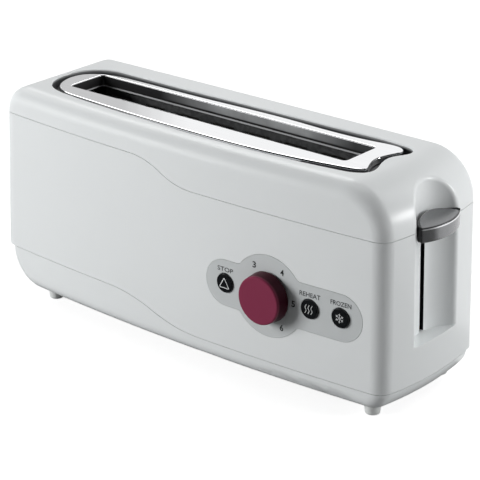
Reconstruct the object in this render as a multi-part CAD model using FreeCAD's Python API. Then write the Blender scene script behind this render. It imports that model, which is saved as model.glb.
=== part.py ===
import FreeCAD, Part
import math
import os

from FreeCAD import Vector

# Long-slot toaster for two slices side by side. All sizes in millimetres.
# X runs along the slot, Y from the control side to the back, Z up from the table.
# y = 0 is the middle plane of the slot.

# Overall body
BODY_LENGTH = 363.0
BODY_HEIGHT = 165.0
FRONT_DEPTH = 60.7
REAR_DEPTH = 53.5
WALL = 2.6
SIZE_LEVEL = 50.0
LEFT_LEAN = 0.049
RIGHT_LEAN = 0.018
FRONT_DRAFT = 0.0086
FRONT_BOW_RADIUS = 1850.0
REAR_BOW_RADIUS = 20000.0
END_BOW_RADIUS = 250.0
BOW_CENTRE = 9.0
TOP_LEFT_RADIUS = 20.0
TOP_RIGHT_RADIUS = 34.0
FACE_EDGE_RADIUS = 12.0
REAR_EDGE_RADIUS = 9.0
LEAST_FILLET = 4.0

# Parting lines, each a level stretch at the left, an S and a level stretch at the right
UPPER_SEAM_DROP_LEFT = 19.8
UPPER_SEAM_DROP_RIGHT = 35.0
UPPER_SEAM_START = -41.0
UPPER_SEAM_RUN = 58.0
LOWER_SEAM_LEFT = 38.5
LOWER_SEAM_RIGHT = 22.2
LOWER_SEAM_START = -66.0
LOWER_SEAM_RUN = 89.0
SEAM_GAP = 0.4
LIP_HEIGHT = 3.0
LIP_CLEARANCE = 0.15
SHELL_LIP_INSET = 4.2
BASE_LIP_INSET = 7.0

# Base
FOOT_HEIGHT = 8.0
FOOT_RADIUS = 6.0
FOOT_MARGIN = 31.9
FOOT_SPACING_Y = 78.6
FOOT_STEM_RADIUS = 2.4
BASE_SETBACK_LEFT = 5.5
BASE_SETBACK_REAR = 4.8
BASE_END_RADIUS = 30.0
BASE_RIGHT_RADIUS = 16.0
BASE_EDGE_RADIUS = 10.5

# Slot and chrome trim
SLOT_MARGIN_LEFT = 42.2
SLOT_MARGIN_RIGHT = 65.8
SLOT_WIDTH = 34.6
SLOT_CORNER_RADIUS = 3.0
TRIM_DROP = 1.5
TRIM_SHEET = 1.0
TRIM_WALL_HEIGHT = 5.0
TRIM_FLANGE = 1.2
TRIM_LIP_DEPTH = 9.0
TRIM_EDGE_RADIUS = 1.4
FLANGE_OVERLAP = 1.6
RIM_WALL = 1.8
RIM_EDGE_RADIUS = 1.0
RING_TOLERANCE = 0.35

# Lever recess in the right end
RECESS_RADIUS = 28.7
RECESS_DEPTH = 12.7
RECESS_LEDGE = 48.6
RECESS_MOUTH_RADIUS = 4.0
LEVER_SLOT_WIDTH = 4.4

# Lever
LEVER_DROP = 42.0
LEVER_FRONT_HEIGHT = 10.3
LEVER_BACK_HEIGHT = 14.2
LEVER_ARC_RADIUS = 42.0
LEVER_PROUD = 6.6
LEVER_HALF_WIDTH = 22.0
LEVER_GAP = 0.12
LEVER_CORE_DEPTH = 1.5
TONGUE_HEIGHT = 5.0

# Control panel
PANEL_HEIGHT = 71.0
DIAL_MARGIN = 97.4
DIAL_FIELD_RADIUS = 29.6
BAR_HALF_HEIGHT = 16.9
STOP_OFFSET = -36.7
REHEAT_OFFSET = 34.5
FROZEN_OFFSET = 59.0
PANEL_RECESS = 1.0
PANEL_THICKNESS = 1.1
PANEL_CLEARANCE = 0.25
PANEL_FILLET = 4.0
BUTTON_RADIUS = 7.0
BUTTON_CLEARANCE = 0.3
BUTTON_FLANGE = 8.4
BUTTON_STEM_RADIUS = 2.5
BUTTON_PROUD = 1.4
BUTTON_TRAVEL = 1.5
KNOB_RADIUS = 18.1
KNOB_FACE_RADIUS = 17.1
KNOB_DEPTH = 10.0
KNOB_GAP = 1.0
KNOB_SHELL = 2.2
KNOB_HUB_RADIUS = 5.5
KNOB_NOTCH_ANGLE = -127.0
KNOB_NOTCH_RADIUS = 2.8
SHAFT_RADIUS = 3.0
SHAFT_CLEARANCE = 0.05

# Circuit board behind the panel
BOARD_FRONT = -44.0
BOARD_THICKNESS = 1.6
BOARD_LENGTH = 116.0
BOARD_BOTTOM = 46.0
BOARD_TOP = 96.0
BOARD_HOLE_INSET = 5.0
POT_RADIUS = 8.5
POT_DEPTH = 8.0
SWITCH_SIZE = 7.0
SWITCH_DEPTH = 3.2
PLUNGER_DEPTH = 1.0
REST_GAP = 0.3

# Chassis, shields and heaters
SHEET = 1.0
CHASSIS_MARGIN_LEFT = 7.7
CHASSIS_MARGIN_RIGHT = 6.3
CHASSIS_FLOOR_BOTTOM = 21.0
CARD_OFFSET = 9.7
SHIELD_OFFSET = 6.0
CARD_BOTTOM = 34.0
RIBBON_THICKNESS = 0.4
RIBBON_WIDTH = 2.6
RIBBON_TURNS = 16
CAGE_INSET = 2.3
CAGE_TRAVEL = 5.0
CAGE_WIRE_RADIUS = 1.1
CAGE_BOTTOM = 36.0
CAGE_WIRES = 8
CAGE_PIN = 3.0
CAGE_CLEARANCE = 0.5
SHELF_LENGTH = 30.0

# Bread carriage and its mechanism
CARRIAGE_DEPTH = 72.8
CARRIAGE_LOW = 30.2
RACK_HALF_WIDTH = 6.5
RACK_TAB_HALF_WIDTH = 2.5
RACK_CLEARANCE = 3.0
RACK_SHEET = 1.2
FINGER_HEIGHT = 5.0
FINGER_PITCH = 24.0
ROD_OFFSET = 14.0
ROD_Y = 5.2
ROD_RADIUS = 2.5
COLLAR_RADIUS = 4.8
COLLAR_CLEARANCE = 0.1
COLLAR_HEIGHT = 8.0
BRACKET_THICKNESS = 2.0
BRACKET_HEIGHT = 37.8
BRACKET_LENGTH = 25.5
LUG_HEIGHT = 14.3
LUG_THICKNESS = 1.5
STRIKER_HEIGHT = 3.8
SPRING_OFFSET = 12.0
SPRING_Y = -7.0
SPRING_RADIUS = 3.0
SPRING_WIRE_RADIUS = 0.5
SPRING_TURNS = 7
ARMATURE_THICKNESS = 4.0
MAGNET_OFFSET = 15.0
MAGNET_Y = -20.0

# Crumb tray
TRAY_MARGIN_LEFT = 17.7
TRAY_MARGIN_RIGHT = 12.1
TRAY_FRONT = -44.0
TRAY_SHEET = 1.0
TRAY_RIM = 17.0
TRAY_FACE_TOP = 18.6
TRAY_CLEARANCE = 0.4

# Posts, screws and gland
LEFT_POST_MARGIN = 18.5
RIGHT_POST_MARGIN = 12.5
FRONT_POST_Y = -38.0
REAR_POST_Y = 36.0
POST_RADIUS = 5.0
BOSS_RADIUS = 4.5
BOSS_LENGTH = 16.0
CHASSIS_POST_INSET = 4.0
SCREW_RADIUS = 1.7
SCREW_HEAD_RADIUS = 3.4
SCREW_CLEARANCE = 0.3
THREAD_CLEARANCE = 0.03
GLAND_MARGIN = 31.5
GLAND_Z = 45.0
GLAND_BORE = 4.2
GLAND_NECK = 6.0
GLAND_FLANGE = 8.0

# Values that follow from the sizes above
LEFT_END = -BODY_LENGTH / 2.0
RIGHT_END = BODY_LENGTH / 2.0
FORM_JOIN = RIGHT_END - 81.5
FORM_LOW = -40.0
UPPER_SEAM_LEFT = BODY_HEIGHT - UPPER_SEAM_DROP_LEFT
UPPER_SEAM_RIGHT = BODY_HEIGHT - UPPER_SEAM_DROP_RIGHT
SLOT_LEFT = LEFT_END + SLOT_MARGIN_LEFT
SLOT_RIGHT = RIGHT_END - SLOT_MARGIN_RIGHT
SLOT_LENGTH = SLOT_RIGHT - SLOT_LEFT
SLOT_OFFSET = (SLOT_LEFT + SLOT_RIGHT) / 2.0
SLOT_HALF = SLOT_WIDTH / 2.0
PLATEAU_TOP = BODY_HEIGHT - TRIM_DROP
FLANGE_TOP = PLATEAU_TOP - TRIM_WALL_HEIGHT
FLANGE_BOTTOM = FLANGE_TOP - TRIM_FLANGE
CHASSIS_LEFT = SLOT_LEFT - CHASSIS_MARGIN_LEFT
CHASSIS_RIGHT = SLOT_RIGHT + CHASSIS_MARGIN_RIGHT
CHASSIS_FLOOR_TOP = CHASSIS_FLOOR_BOTTOM + SHEET
SHELF_END = CHASSIS_RIGHT + SHELF_LENGTH
CARD_Y = SLOT_HALF + CARD_OFFSET
CARD_TOP = FLANGE_BOTTOM - 7.3
SHIELD_Y = CARD_Y + SHIELD_OFFSET
SHIELD_TOP = FLANGE_BOTTOM - 2.3
CHASSIS_HALF_WIDTH = SHIELD_Y + 3.0
CHASSIS_POST_Y = SHIELD_Y - CHASSIS_POST_INSET
CAGE_Y = SLOT_HALF - CAGE_INSET
CAGE_TOP = FLANGE_BOTTOM - 9.3
CAGE_PITCH = SLOT_LENGTH / 8.0
BASE_BOTTOM = FOOT_HEIGHT
BASE_FLOOR = BASE_BOTTOM + WALL
BASE_REAR = REAR_DEPTH - BASE_SETBACK_REAR
RECESS_FLOOR = RIGHT_END - RECESS_DEPTH
LEFT_POST_X = LEFT_END + LEFT_POST_MARGIN
RIGHT_POST_X = RIGHT_END - RIGHT_POST_MARGIN
GLAND_X = RIGHT_END - GLAND_MARGIN
DIAL_X = RIGHT_END - DIAL_MARGIN
STOP_X = DIAL_X + STOP_OFFSET
REHEAT_X = DIAL_X + REHEAT_OFFSET
FROZEN_X = DIAL_X + FROZEN_OFFSET
BOARD_RIGHT = FROZEN_X + 8.9
BOARD_LEFT = BOARD_RIGHT - BOARD_LENGTH
BOARD_BACK = BOARD_FRONT + BOARD_THICKNESS
PLUNGER_TIP = BOARD_FRONT - SWITCH_DEPTH - PLUNGER_DEPTH
STEM_END = PLUNGER_TIP - REST_GAP - BUTTON_TRAVEL
CARRIAGE_TOP = BODY_HEIGHT - CARRIAGE_DEPTH
CARRIAGE_TRAVEL = CARRIAGE_TOP - CARRIAGE_LOW
BRACKET_TOP = CARRIAGE_TOP + BRACKET_HEIGHT
BRACKET_LEFT = CHASSIS_RIGHT + 2.5
BRACKET_RIGHT = BRACKET_LEFT + BRACKET_LENGTH
ROD_X = CHASSIS_RIGHT + ROD_OFFSET
SPRING_X = CHASSIS_RIGHT + SPRING_OFFSET
MAGNET_X = CHASSIS_RIGHT + MAGNET_OFFSET
LUG_BOTTOM = CARRIAGE_TOP + LUG_HEIGHT
LUG_TOP = LUG_BOTTOM + LUG_THICKNESS
ARMATURE_BOTTOM = LUG_BOTTOM - ARMATURE_THICKNESS
MAGNET_TOP = ARMATURE_BOTTOM - CARRIAGE_TRAVEL - REST_GAP
LEVER_BOTTOM = BODY_HEIGHT - LEVER_DROP
LEVER_REACH = RIGHT_END + LEVER_PROUD
TONGUE_BOTTOM = LEVER_BOTTOM + 1.0
TONGUE_TOP = TONGUE_BOTTOM + TONGUE_HEIGHT
TONGUE_END = RECESS_FLOOR + 9.2
TRAY_LEFT = SLOT_LEFT + TRAY_MARGIN_LEFT
TRAY_RIGHT = SLOT_RIGHT - TRAY_MARGIN_RIGHT


# Basic solids

def box(x0, x1, y0, y1, z0, z1):
    return Part.makeBox(x1 - x0, y1 - y0, z1 - z0, Vector(x0, y0, z0))


def upright(radius, x, y, z0, z1):
    return Part.makeCylinder(radius, z1 - z0, Vector(x, y, z0))


def across(radius, x, z, y0, y1):
    """Cylinder along Y."""
    return Part.makeCylinder(radius, y1 - y0, Vector(x, y0, z), Vector(0, 1, 0))


def along(radius, y, z, x0, x1):
    """Cylinder along X."""
    return Part.makeCylinder(radius, x1 - x0, Vector(x0, y, z), Vector(1, 0, 0))


def fused(shapes):
    first = shapes[0]
    if len(shapes) == 1:
        return first
    return first.fuse(shapes[1:]).removeSplitter()


def ring_face(edges):
    return Part.Face(Part.Wire(edges))


def slab_xz(edges, y0, y1):
    """Face drawn in the plane y = 0, thickened from y0 to y1."""
    face = ring_face(edges)
    face.translate(Vector(0, y0, 0))
    return face.extrude(Vector(0, y1 - y0, 0))


def lines(points):
    """Straight edges through a closed ring of points."""
    closed = points + [points[0]]
    return [Part.makeLine(a, b) for a, b in zip(closed, closed[1:])]


# The outer form of the housing

def rounded_corner(before, corner, after, radius):
    """Start, middle and end of the arc that rounds a corner between two runs."""
    a = (before - corner).normalize()
    b = (after - corner).normalize()
    half = a.getAngle(b) / 2.0
    reach = radius / math.tan(half)
    middle = (a + b).normalize()
    centre = corner + middle * (radius / math.sin(half))
    return corner + a * reach, centre - middle * radius, corner + b * reach


def left_line(z, inset):
    return LEFT_END + LEFT_LEAN * (z - SIZE_LEVEL) + inset * math.hypot(1.0, LEFT_LEAN)


def right_line(z, inset):
    return RIGHT_END - RIGHT_LEAN * (z - SIZE_LEVEL) - inset * math.hypot(1.0, RIGHT_LEAN)


def front_face_y(x):
    """The bowed front face at a distance along the slot."""
    return -FRONT_DEPTH + FRONT_BOW_RADIUS - math.sqrt(FRONT_BOW_RADIUS ** 2 - (x - BOW_CENTRE) ** 2)


def rear_face_y(x, depth):
    return depth - REAR_BOW_RADIUS + math.sqrt(REAR_BOW_RADIUS ** 2 - (x - BOW_CENTRE) ** 2)


def bent_plate(axis, ring, radius):
    """Outline in the middle plane, swung both ways about an upright axis."""
    sweep = math.degrees(math.asin(0.7 * BODY_LENGTH / radius))
    face = ring_face(lines(ring))
    face.rotate(axis, Vector(0, 0, 1), -sweep)
    return face.revolve(axis, Vector(0, 0, 1), 2 * sweep)


def front_bow(inset):
    """Everything behind the bowed front face."""
    axis = Vector(BOW_CENTRE, FRONT_BOW_RADIUS - FRONT_DEPTH, 0)
    low = 2 * FORM_LOW
    high = BODY_HEIGHT * 1.5
    ring = []
    for z in (low, high):
        y = -FRONT_DEPTH + inset + FRONT_DRAFT * (z - PANEL_HEIGHT)
        ring.append(Vector(axis.x, y, z))
    ring.append(Vector(axis.x, 2 * FRONT_DEPTH, high))
    ring.append(Vector(axis.x, 2 * FRONT_DEPTH, low))
    return bent_plate(axis, ring, FRONT_BOW_RADIUS)


def rear_bow(inset, depth):
    """Everything in front of the slightly bowed rear face."""
    axis = Vector(BOW_CENTRE, depth - REAR_BOW_RADIUS, 0)
    low = 2 * FORM_LOW
    high = BODY_HEIGHT * 1.5
    near = -2 * FRONT_DEPTH
    far = depth - inset
    ring = [Vector(axis.x, near, low), Vector(axis.x, far, low), Vector(axis.x, far, high), Vector(axis.x, near, high)]
    return bent_plate(axis, ring, REAR_BOW_RADIUS)


def bowed_solid(left_edges, right_edges, inset, rear_depth):
    """Front-view outline, straight at the left and swung about an upright axis at the right."""
    half = 80.0
    sweep = 27.0
    main = slab_xz(left_edges, -half, half)
    axis = Vector(RIGHT_END - END_BOW_RADIUS, 0, 0)
    end = ring_face(right_edges)
    end.rotate(axis, Vector(0, 0, 1), -sweep)
    end = end.revolve(axis, Vector(0, 0, 1), 2 * sweep)
    reach = BODY_LENGTH
    end = end.common(box(FORM_JOIN, FORM_JOIN + reach, -reach, reach, -reach, reach))
    solid = main.fuse(end).removeSplitter()
    return solid.common(front_bow(inset)).common(rear_bow(inset, rear_depth))


def bow_edges(solid, side, z_low, z_high):
    """Edges round the front (-1) or rear (1) face, without those that lie outside two heights."""
    found = []
    for face in solid.Faces:
        if getattr(face.Surface, "Radius", 0) < FRONT_BOW_RADIUS / 2 or face.CenterOfMass.y * side < 0:
            continue
        for edge in face.OuterWire.Edges:
            middle = edge.valueAt((edge.FirstParameter + edge.LastParameter) / 2).z
            if z_low < middle < z_high:
                found.append(edge)
    return found


def housing_form(inset):
    """Solid outer form of cover and shell, each surface moved in by the inset."""
    top = BODY_HEIGHT - inset
    low = FORM_LOW
    start = Vector(left_line(low, inset), 0, low)
    high = Vector(left_line(top, inset), 0, top)
    join = Vector(FORM_JOIN, 0, top)
    foot = Vector(FORM_JOIN, 0, low)
    a, b, c = rounded_corner(start, high, join, TOP_LEFT_RADIUS - inset)
    left = [Part.makeLine(start, a), Part.Arc(a, b, c).toShape(), Part.makeLine(c, join)]
    left += [Part.makeLine(join, foot), Part.makeLine(foot, start)]
    end = Vector(right_line(low, inset), 0, low)
    corner = Vector(right_line(top, inset), 0, top)
    a, b, c = rounded_corner(join, corner, end, TOP_RIGHT_RADIUS - inset)
    right = [Part.makeLine(join, a), Part.Arc(a, b, c).toShape(), Part.makeLine(c, end)]
    right += [Part.makeLine(end, foot), Part.makeLine(foot, join)]
    solid = bowed_solid(left, right, inset, REAR_DEPTH)
    solid = solid.makeFillet(FACE_EDGE_RADIUS - inset, bow_edges(solid, -1, low + 1.0, BODY_HEIGHT + 1.0))
    rear_radius = max(REAR_EDGE_RADIUS - inset, LEAST_FILLET)
    return solid.makeFillet(rear_radius, bow_edges(solid, 1, low + 1.0, BODY_HEIGHT + 1.0))


def base_form(inset):
    """Solid outer form of the base, open upwards past the lower parting line."""
    top = 2 * LOWER_SEAM_LEFT
    low = BASE_BOTTOM + inset
    setback = BASE_SETBACK_LEFT + inset
    start = Vector(left_line(top, setback), 0, top)
    corner = Vector(left_line(low, setback), 0, low)
    join = Vector(FORM_JOIN, 0, low)
    head = Vector(FORM_JOIN, 0, top)
    a, b, c = rounded_corner(start, corner, join, BASE_END_RADIUS - inset)
    left = [Part.makeLine(start, a), Part.Arc(a, b, c).toShape(), Part.makeLine(c, join)]
    left += [Part.makeLine(join, head), Part.makeLine(head, start)]
    bottom = Vector(right_line(low, inset), 0, low)
    end = Vector(right_line(top, inset), 0, top)
    a, b, c = rounded_corner(join, bottom, end, BASE_RIGHT_RADIUS - inset)
    right = [Part.makeLine(join, a), Part.Arc(a, b, c).toShape(), Part.makeLine(c, end)]
    right += [Part.makeLine(end, head), Part.makeLine(head, join)]
    solid = bowed_solid(left, right, inset, REAR_DEPTH - BASE_SETBACK_REAR)
    solid = solid.makeFillet(BASE_EDGE_RADIUS - inset, bow_edges(solid, -1, low - 1.0, top - 1.0))
    return solid.makeFillet(REAR_EDGE_RADIUS - inset, bow_edges(solid, 1, low - 1.0, top - 1.0))


def seam_edges(start_x, run, left_z, right_z, edge_z):
    """Outline from a parting line to the height edge_z, in the plane y = 0."""
    reach = BODY_LENGTH
    rise = left_z - right_z
    radius = (run * run + rise * rise) / (4.0 * rise)
    turn = math.asin(run / 2.0 / radius)
    p0 = Vector(-reach, 0, left_z)
    p1 = Vector(start_x, 0, left_z)
    p3 = Vector(start_x + run / 2.0, 0, (left_z + right_z) / 2.0)
    p5 = Vector(start_x + run, 0, right_z)
    p6 = Vector(reach, 0, right_z)
    p2 = p1 + Vector(radius * math.sin(turn / 2), 0, -radius * (1 - math.cos(turn / 2)))
    p4 = p5 + Vector(-radius * math.sin(turn / 2), 0, radius * (1 - math.cos(turn / 2)))
    p7 = Vector(reach, 0, edge_z)
    p8 = Vector(-reach, 0, edge_z)
    edges = [Part.makeLine(p0, p1), Part.Arc(p1, p2, p3).toShape(), Part.Arc(p3, p4, p5).toShape()]
    return edges + [Part.makeLine(p5, p6), Part.makeLine(p6, p7), Part.makeLine(p7, p8), Part.makeLine(p8, p0)]


def seam_block(upper, shift, edge_z):
    """Everything from one parting line, moved up by the shift, to the height edge_z."""
    if upper:
        sizes = (UPPER_SEAM_START, UPPER_SEAM_RUN, UPPER_SEAM_LEFT + shift, UPPER_SEAM_RIGHT + shift)
    else:
        sizes = (LOWER_SEAM_START, LOWER_SEAM_RUN, LOWER_SEAM_LEFT + shift, LOWER_SEAM_RIGHT + shift)
    return slab_xz(seam_edges(*sizes, edge_z), -FRONT_DEPTH * 1.5, FRONT_DEPTH * 1.5)


def recess_cutter(wall):
    """Scoop for the lever, with its flat ledge; the wall is added for the inner skin."""
    radius = RECESS_RADIUS + wall
    centre = RECESS_FLOOR + RECESS_RADIUS
    base = Vector(centre, 0, RECESS_LEDGE - wall)
    tilt = Vector(-RIGHT_LEAN, 0, 1)
    scoop = Part.makeCylinder(radius, BODY_HEIGHT, base - tilt * 20.0, tilt)
    high = BODY_HEIGHT * 2
    return scoop.common(box(0, BODY_LENGTH, -radius, radius, RECESS_LEDGE - wall, high))


def lever_slot_cutter():
    half = LEVER_SLOT_WIDTH / 2
    return box(RECESS_FLOOR - 4 * WALL, RIGHT_END + WALL, -half, half, RECESS_LEDGE + 0.2, UPPER_SEAM_RIGHT)


# Outlines in plan of the chrome trim and of the opening that it lies in

def slot_points(front, right, rear, left):
    """Points given along the slot by shares of its length, and at its ends by distances."""
    ring = []
    for share, y in front:
        ring.append(Vector(SLOT_OFFSET + share * SLOT_LENGTH, y, 0))
    for x, y in right:
        ring.append(Vector(SLOT_RIGHT + x, y, 0))
    for share, y in rear:
        ring.append(Vector(SLOT_OFFSET + share * SLOT_LENGTH, y, 0))
    for x, y in left:
        ring.append(Vector(SLOT_LEFT + x, y, 0))
    return ring


def plateau_points():
    front = [(-0.36, -33.5), (-0.18, -36.2), (0.08, -37.8), (0.25, -36.7), (0.4, -32.8)]
    right = [(3.8, -27.7), (15.3, -24.3), (19.6, -20.3), (17.0, -13.6), (14.0, -6.3), (13.1, 0.5)]
    right += [(14.5, 8.3), (17.1, 15.6), (18.8, 22.0), (15.3, 26.4)]
    rear = [(0.485, 27.4), (0.21, 26.2), (-0.14, 23.6), (-0.385, 23.1)]
    left = [(11.3, 21.8), (-2.7, 17.3), (-11.7, 9.5), (-14.7, -1.0), (-12.7, -12.0), (-5.2, -23.5), (7.7, -30.6)]
    return slot_points(front, right, rear, left)


def opening_points():
    front = [(-0.34, -38.6), (-0.15, -42.0), (0.085, -44.3), (0.26, -43.2), (0.42, -40.0)]
    right = [(10.3, -36.0), (21.8, -32.6), (26.9, -27.5), (26.8, -19.5), (23.7, -11.0), (20.9, -3.5)]
    right += [(20.6, 2.5), (22.6, 8.6), (25.3, 13.6), (26.8, 19.0), (24.8, 25.0), (15.3, 28.8)]
    rear = [(0.38, 29.6), (0.046, 28.8), (-0.23, 27.6), (-0.405, 27.4)]
    left = [(7.3, 26.2), (-6.7, 21.6), (-15.7, 10.4), (-18.5, -3.0), (-15.9, -17.0), (-6.7, -29.0), (11.3, -35.5)]
    return slot_points(front, right, rear, left)


def plan_wire(points, grow):
    """Smooth closed ring of arcs, moved outwards by the value grow."""
    curve = Part.BSplineCurve()
    curve.interpolate(Points=points, PeriodicFlag=True)
    wire = Part.Wire([arc.toShape() for arc in curve.toBiArcs(RING_TOLERANCE)])
    return wire.makeOffset2D(grow) if grow else wire


def plan_solid(points, grow, z0, z1):
    face = Part.Face(plan_wire(points, grow))
    face.translate(Vector(0, 0, z0))
    return face.extrude(Vector(0, 0, z1 - z0))


def ring_edges(shape, points, z_low):
    """Edges that lie over a ring, above a height."""
    ring = plan_wire(points, 0.0)
    found = []
    for edge in shape.Edges:
        middle = edge.valueAt((edge.FirstParameter + edge.LastParameter) / 2)
        if middle.z > z_low and ring.distToShape(Part.Vertex(middle.x, middle.y, 0))[0] < 0.01:
            found.append(edge)
    return found


def slot_solid(grow, z0, z1):
    """Rounded rectangle of the bread slot."""
    shape = box(SLOT_LEFT - grow, SLOT_RIGHT + grow, -SLOT_HALF - grow, SLOT_HALF + grow, z0, z1)
    corners = [edge for edge in shape.Edges if edge.BoundBox.ZLength > (z1 - z0) / 2]
    return shape.makeFillet(SLOT_CORNER_RADIUS + grow, corners)


def level_edges(shape, z):
    return [e for e in shape.Edges if abs(e.BoundBox.ZMin - z) < 0.01 and abs(e.BoundBox.ZMax - z) < 0.01]


# Housing: cover, shell and base

def post_places():
    places = []
    for x in (LEFT_POST_X, RIGHT_POST_X):
        for y in (FRONT_POST_Y, REAR_POST_Y):
            places.append((x, y))
    return places


def lower_joint(x):
    """Height at which the posts of base and shell meet."""
    level = LOWER_SEAM_LEFT if x < 0 else LOWER_SEAM_RIGHT
    return level + LIP_HEIGHT + 1.0


def upper_joint(x):
    """Height at which the posts of shell and cover meet."""
    level = UPPER_SEAM_LEFT if x < 0 else UPPER_SEAM_RIGHT
    return level + LIP_HEIGHT + 1.0


def panel_outline(grow, y0, y1):
    """Dial field and button bar in one, as a solid along Y."""
    half = BAR_HALF_HEIGHT + grow
    radius = DIAL_FIELD_RADIUS + grow
    shape = across(radius, DIAL_X, PANEL_HEIGHT, y0, y1)
    bar = box(STOP_X, FROZEN_X, y0, y1, PANEL_HEIGHT - half, PANEL_HEIGHT + half)
    ends = [across(half, x, PANEL_HEIGHT, y0, y1) for x in (STOP_X, FROZEN_X)]
    shape = shape.fuse([bar] + ends).removeSplitter()
    notch = math.sqrt(radius * radius - half * half)
    inner = []
    for edge in shape.Edges:
        place = edge.BoundBox.Center
        upright_gap = abs(abs(place.z - PANEL_HEIGHT) - half)
        side_gap = abs(abs(place.x - DIAL_X) - notch)
        if edge.BoundBox.YLength > (y1 - y0) / 2 and upright_gap < 0.01 and side_gap < 0.01:
            inner.append(edge)
    return shape.makeFillet(PANEL_FILLET - grow, inner)


def button_places():
    return (STOP_X, REHEAT_X, FROZEN_X)


def panel_holes(y0, y1):
    cuts = [across(BUTTON_RADIUS + BUTTON_CLEARANCE, x, PANEL_HEIGHT, y0, y1) for x in button_places()]
    return cuts + [across(SHAFT_RADIUS + 1.5, DIAL_X, PANEL_HEIGHT, y0, y1)]


def pin_places():
    reach = DIAL_FIELD_RADIUS - 6.0
    return ((DIAL_X, PANEL_HEIGHT + reach), (DIAL_X, PANEL_HEIGHT - reach), (STOP_X + 13.0, PANEL_HEIGHT))


def board_holes():
    low = BOARD_BOTTOM + BOARD_HOLE_INSET
    high = BOARD_TOP - BOARD_HOLE_INSET
    left = BOARD_LEFT + BOARD_HOLE_INSET
    right = BOARD_RIGHT - BOARD_HOLE_INSET
    return [(x, z) for x in (left, right) for z in (low, high)]


def housing_parts(forms):
    """Top cover and body shell, cut from one hollow form."""
    outer = forms[0.0]
    inner = forms[WALL]
    skin = recess_cutter(WALL).common(outer)
    hollow = outer.cut(inner).fuse(skin).removeSplitter().cut(recess_cutter(0.0))
    mouth = []
    for face in hollow.Faces:
        if abs(getattr(face.Surface, "Radius", 0) - RECESS_RADIUS) < 0.001:
            for edge in face.OuterWire.Edges:
                start = edge.valueAt(edge.FirstParameter)
                if start.x > RECESS_FLOOR + 4 and edge.BoundBox.ZMax > RECESS_LEDGE + 1:
                    mouth.append(edge)
    hollow = soften(hollow, RECESS_MOUTH_RADIUS, mouth)
    high = seam_block(True, SEAM_GAP / 2, BODY_HEIGHT * 2)
    low = seam_block(True, -SEAM_GAP / 2, FORM_LOW * 2)
    bottom = seam_block(False, SEAM_GAP / 2, BODY_HEIGHT * 2)
    return cover_parts(hollow.common(high), forms), shell_parts(hollow.common(low).common(bottom), forms)


def soften(shape, radius, edges):
    """Rounds the edges where the kernel can; leaves them sharp where it can't."""
    if not edges:
        return shape
    try:
        rounded = shape.makeFillet(radius, edges)
    except Part.OCCError:
        return shape
    return rounded if rounded.isValid() and rounded.Volume > 0 else shape


def cover_parts(cover, forms):
    rim = plan_solid(opening_points(), RIM_WALL, FLANGE_TOP, BODY_HEIGHT - WALL / 2)
    cover = cover.fuse(rim).removeSplitter()
    cover = cover.cut(plan_solid(opening_points(), 0.0, FLANGE_TOP - 1, BODY_HEIGHT + 1))
    cover = soften(cover, RIM_EDGE_RADIUS, ring_edges(cover, opening_points(), BODY_HEIGHT - RIM_EDGE_RADIUS))
    posts = []
    for x, y in post_places():
        posts.append(upright(BOSS_RADIUS, x, y, upper_joint(x), BODY_HEIGHT).common(forms[WALL / 2]))
    cover = fused([cover] + posts)
    bores = [upright(SCREW_RADIUS + THREAD_CLEARANCE, x, y, 0, upper_joint(x) + 11) for x, y in post_places()]
    return cover.cut(bores)


def rib_to_wall(x, y, z0, z1, forms):
    reach = math.copysign(FRONT_DEPTH * 1.5, y)
    y0, y1 = sorted((y, reach))
    return box(x - 1.0, x + 1.0, y0, y1, z0, z1).common(forms[WALL / 2])


def shell_parts(shell, forms):
    band = seam_block(True, LIP_HEIGHT, FORM_LOW * 2).common(seam_block(True, -LIP_HEIGHT, BODY_HEIGHT * 2))
    root = seam_block(True, -SEAM_GAP / 2, FORM_LOW * 2)
    root = root.common(seam_block(True, -LIP_HEIGHT - 1, BODY_HEIGHT * 2))
    clear = recess_cutter(WALL + SEAM_GAP)
    core = forms[SHELL_LIP_INSET]
    lip = forms[WALL + LIP_CLEARANCE].cut(core).common(band).cut(clear)
    step = forms[WALL / 2].cut(core).common(root).cut(clear)
    shell = fused([shell, step, lip])
    shell = shell.cut(lever_slot_cutter())
    extra = []
    for x, y in post_places():
        low = lower_joint(x)
        high = upper_joint(x)
        extra.append(upright(BOSS_RADIUS, x, y, low, low + BOSS_LENGTH))
        extra.append(rib_to_wall(x, y, low + 1, low + BOSS_LENGTH / 2, forms))
        extra.append(upright(BOSS_RADIUS, x, y, high - BOSS_LENGTH, high))
        extra.append(rib_to_wall(x, y, high - BOSS_LENGTH, high - BOSS_LENGTH / 2, forms))
    for x, z in board_holes():
        extra.append(across(3.5, x, z, -FRONT_DEPTH, BOARD_FRONT).common(forms[WALL / 2]))
    shell = fused([shell] + extra)
    cuts = panel_holes(-FRONT_DEPTH - 1, -FRONT_DEPTH + 12)
    cuts += [across(1.6, x, z, -FRONT_DEPTH - 1, -FRONT_DEPTH + 12) for x, z in pin_places()]
    cuts += [across(1.2 + THREAD_CLEARANCE, x, z, BOARD_FRONT - 8, BOARD_FRONT + 1) for x, z in board_holes()]
    cuts.append(panel_outline(PANEL_CLEARANCE, -FRONT_DEPTH - 5, -FRONT_DEPTH + 12).cut(front_bow(PANEL_RECESS)))
    cuts.append(across(GLAND_NECK + 0.03, GLAND_X, GLAND_Z, REAR_DEPTH - 10, REAR_DEPTH + 5))
    for x, y in post_places():
        low = lower_joint(x)
        high = upper_joint(x)
        cuts.append(upright(SCREW_RADIUS + THREAD_CLEARANCE, x, y, low - 1, low + 12))
        cuts.append(upright(SCREW_RADIUS + SCREW_CLEARANCE, x, y, high - BOSS_LENGTH - 1, high + 1))
    return shell.cut(cuts)


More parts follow.
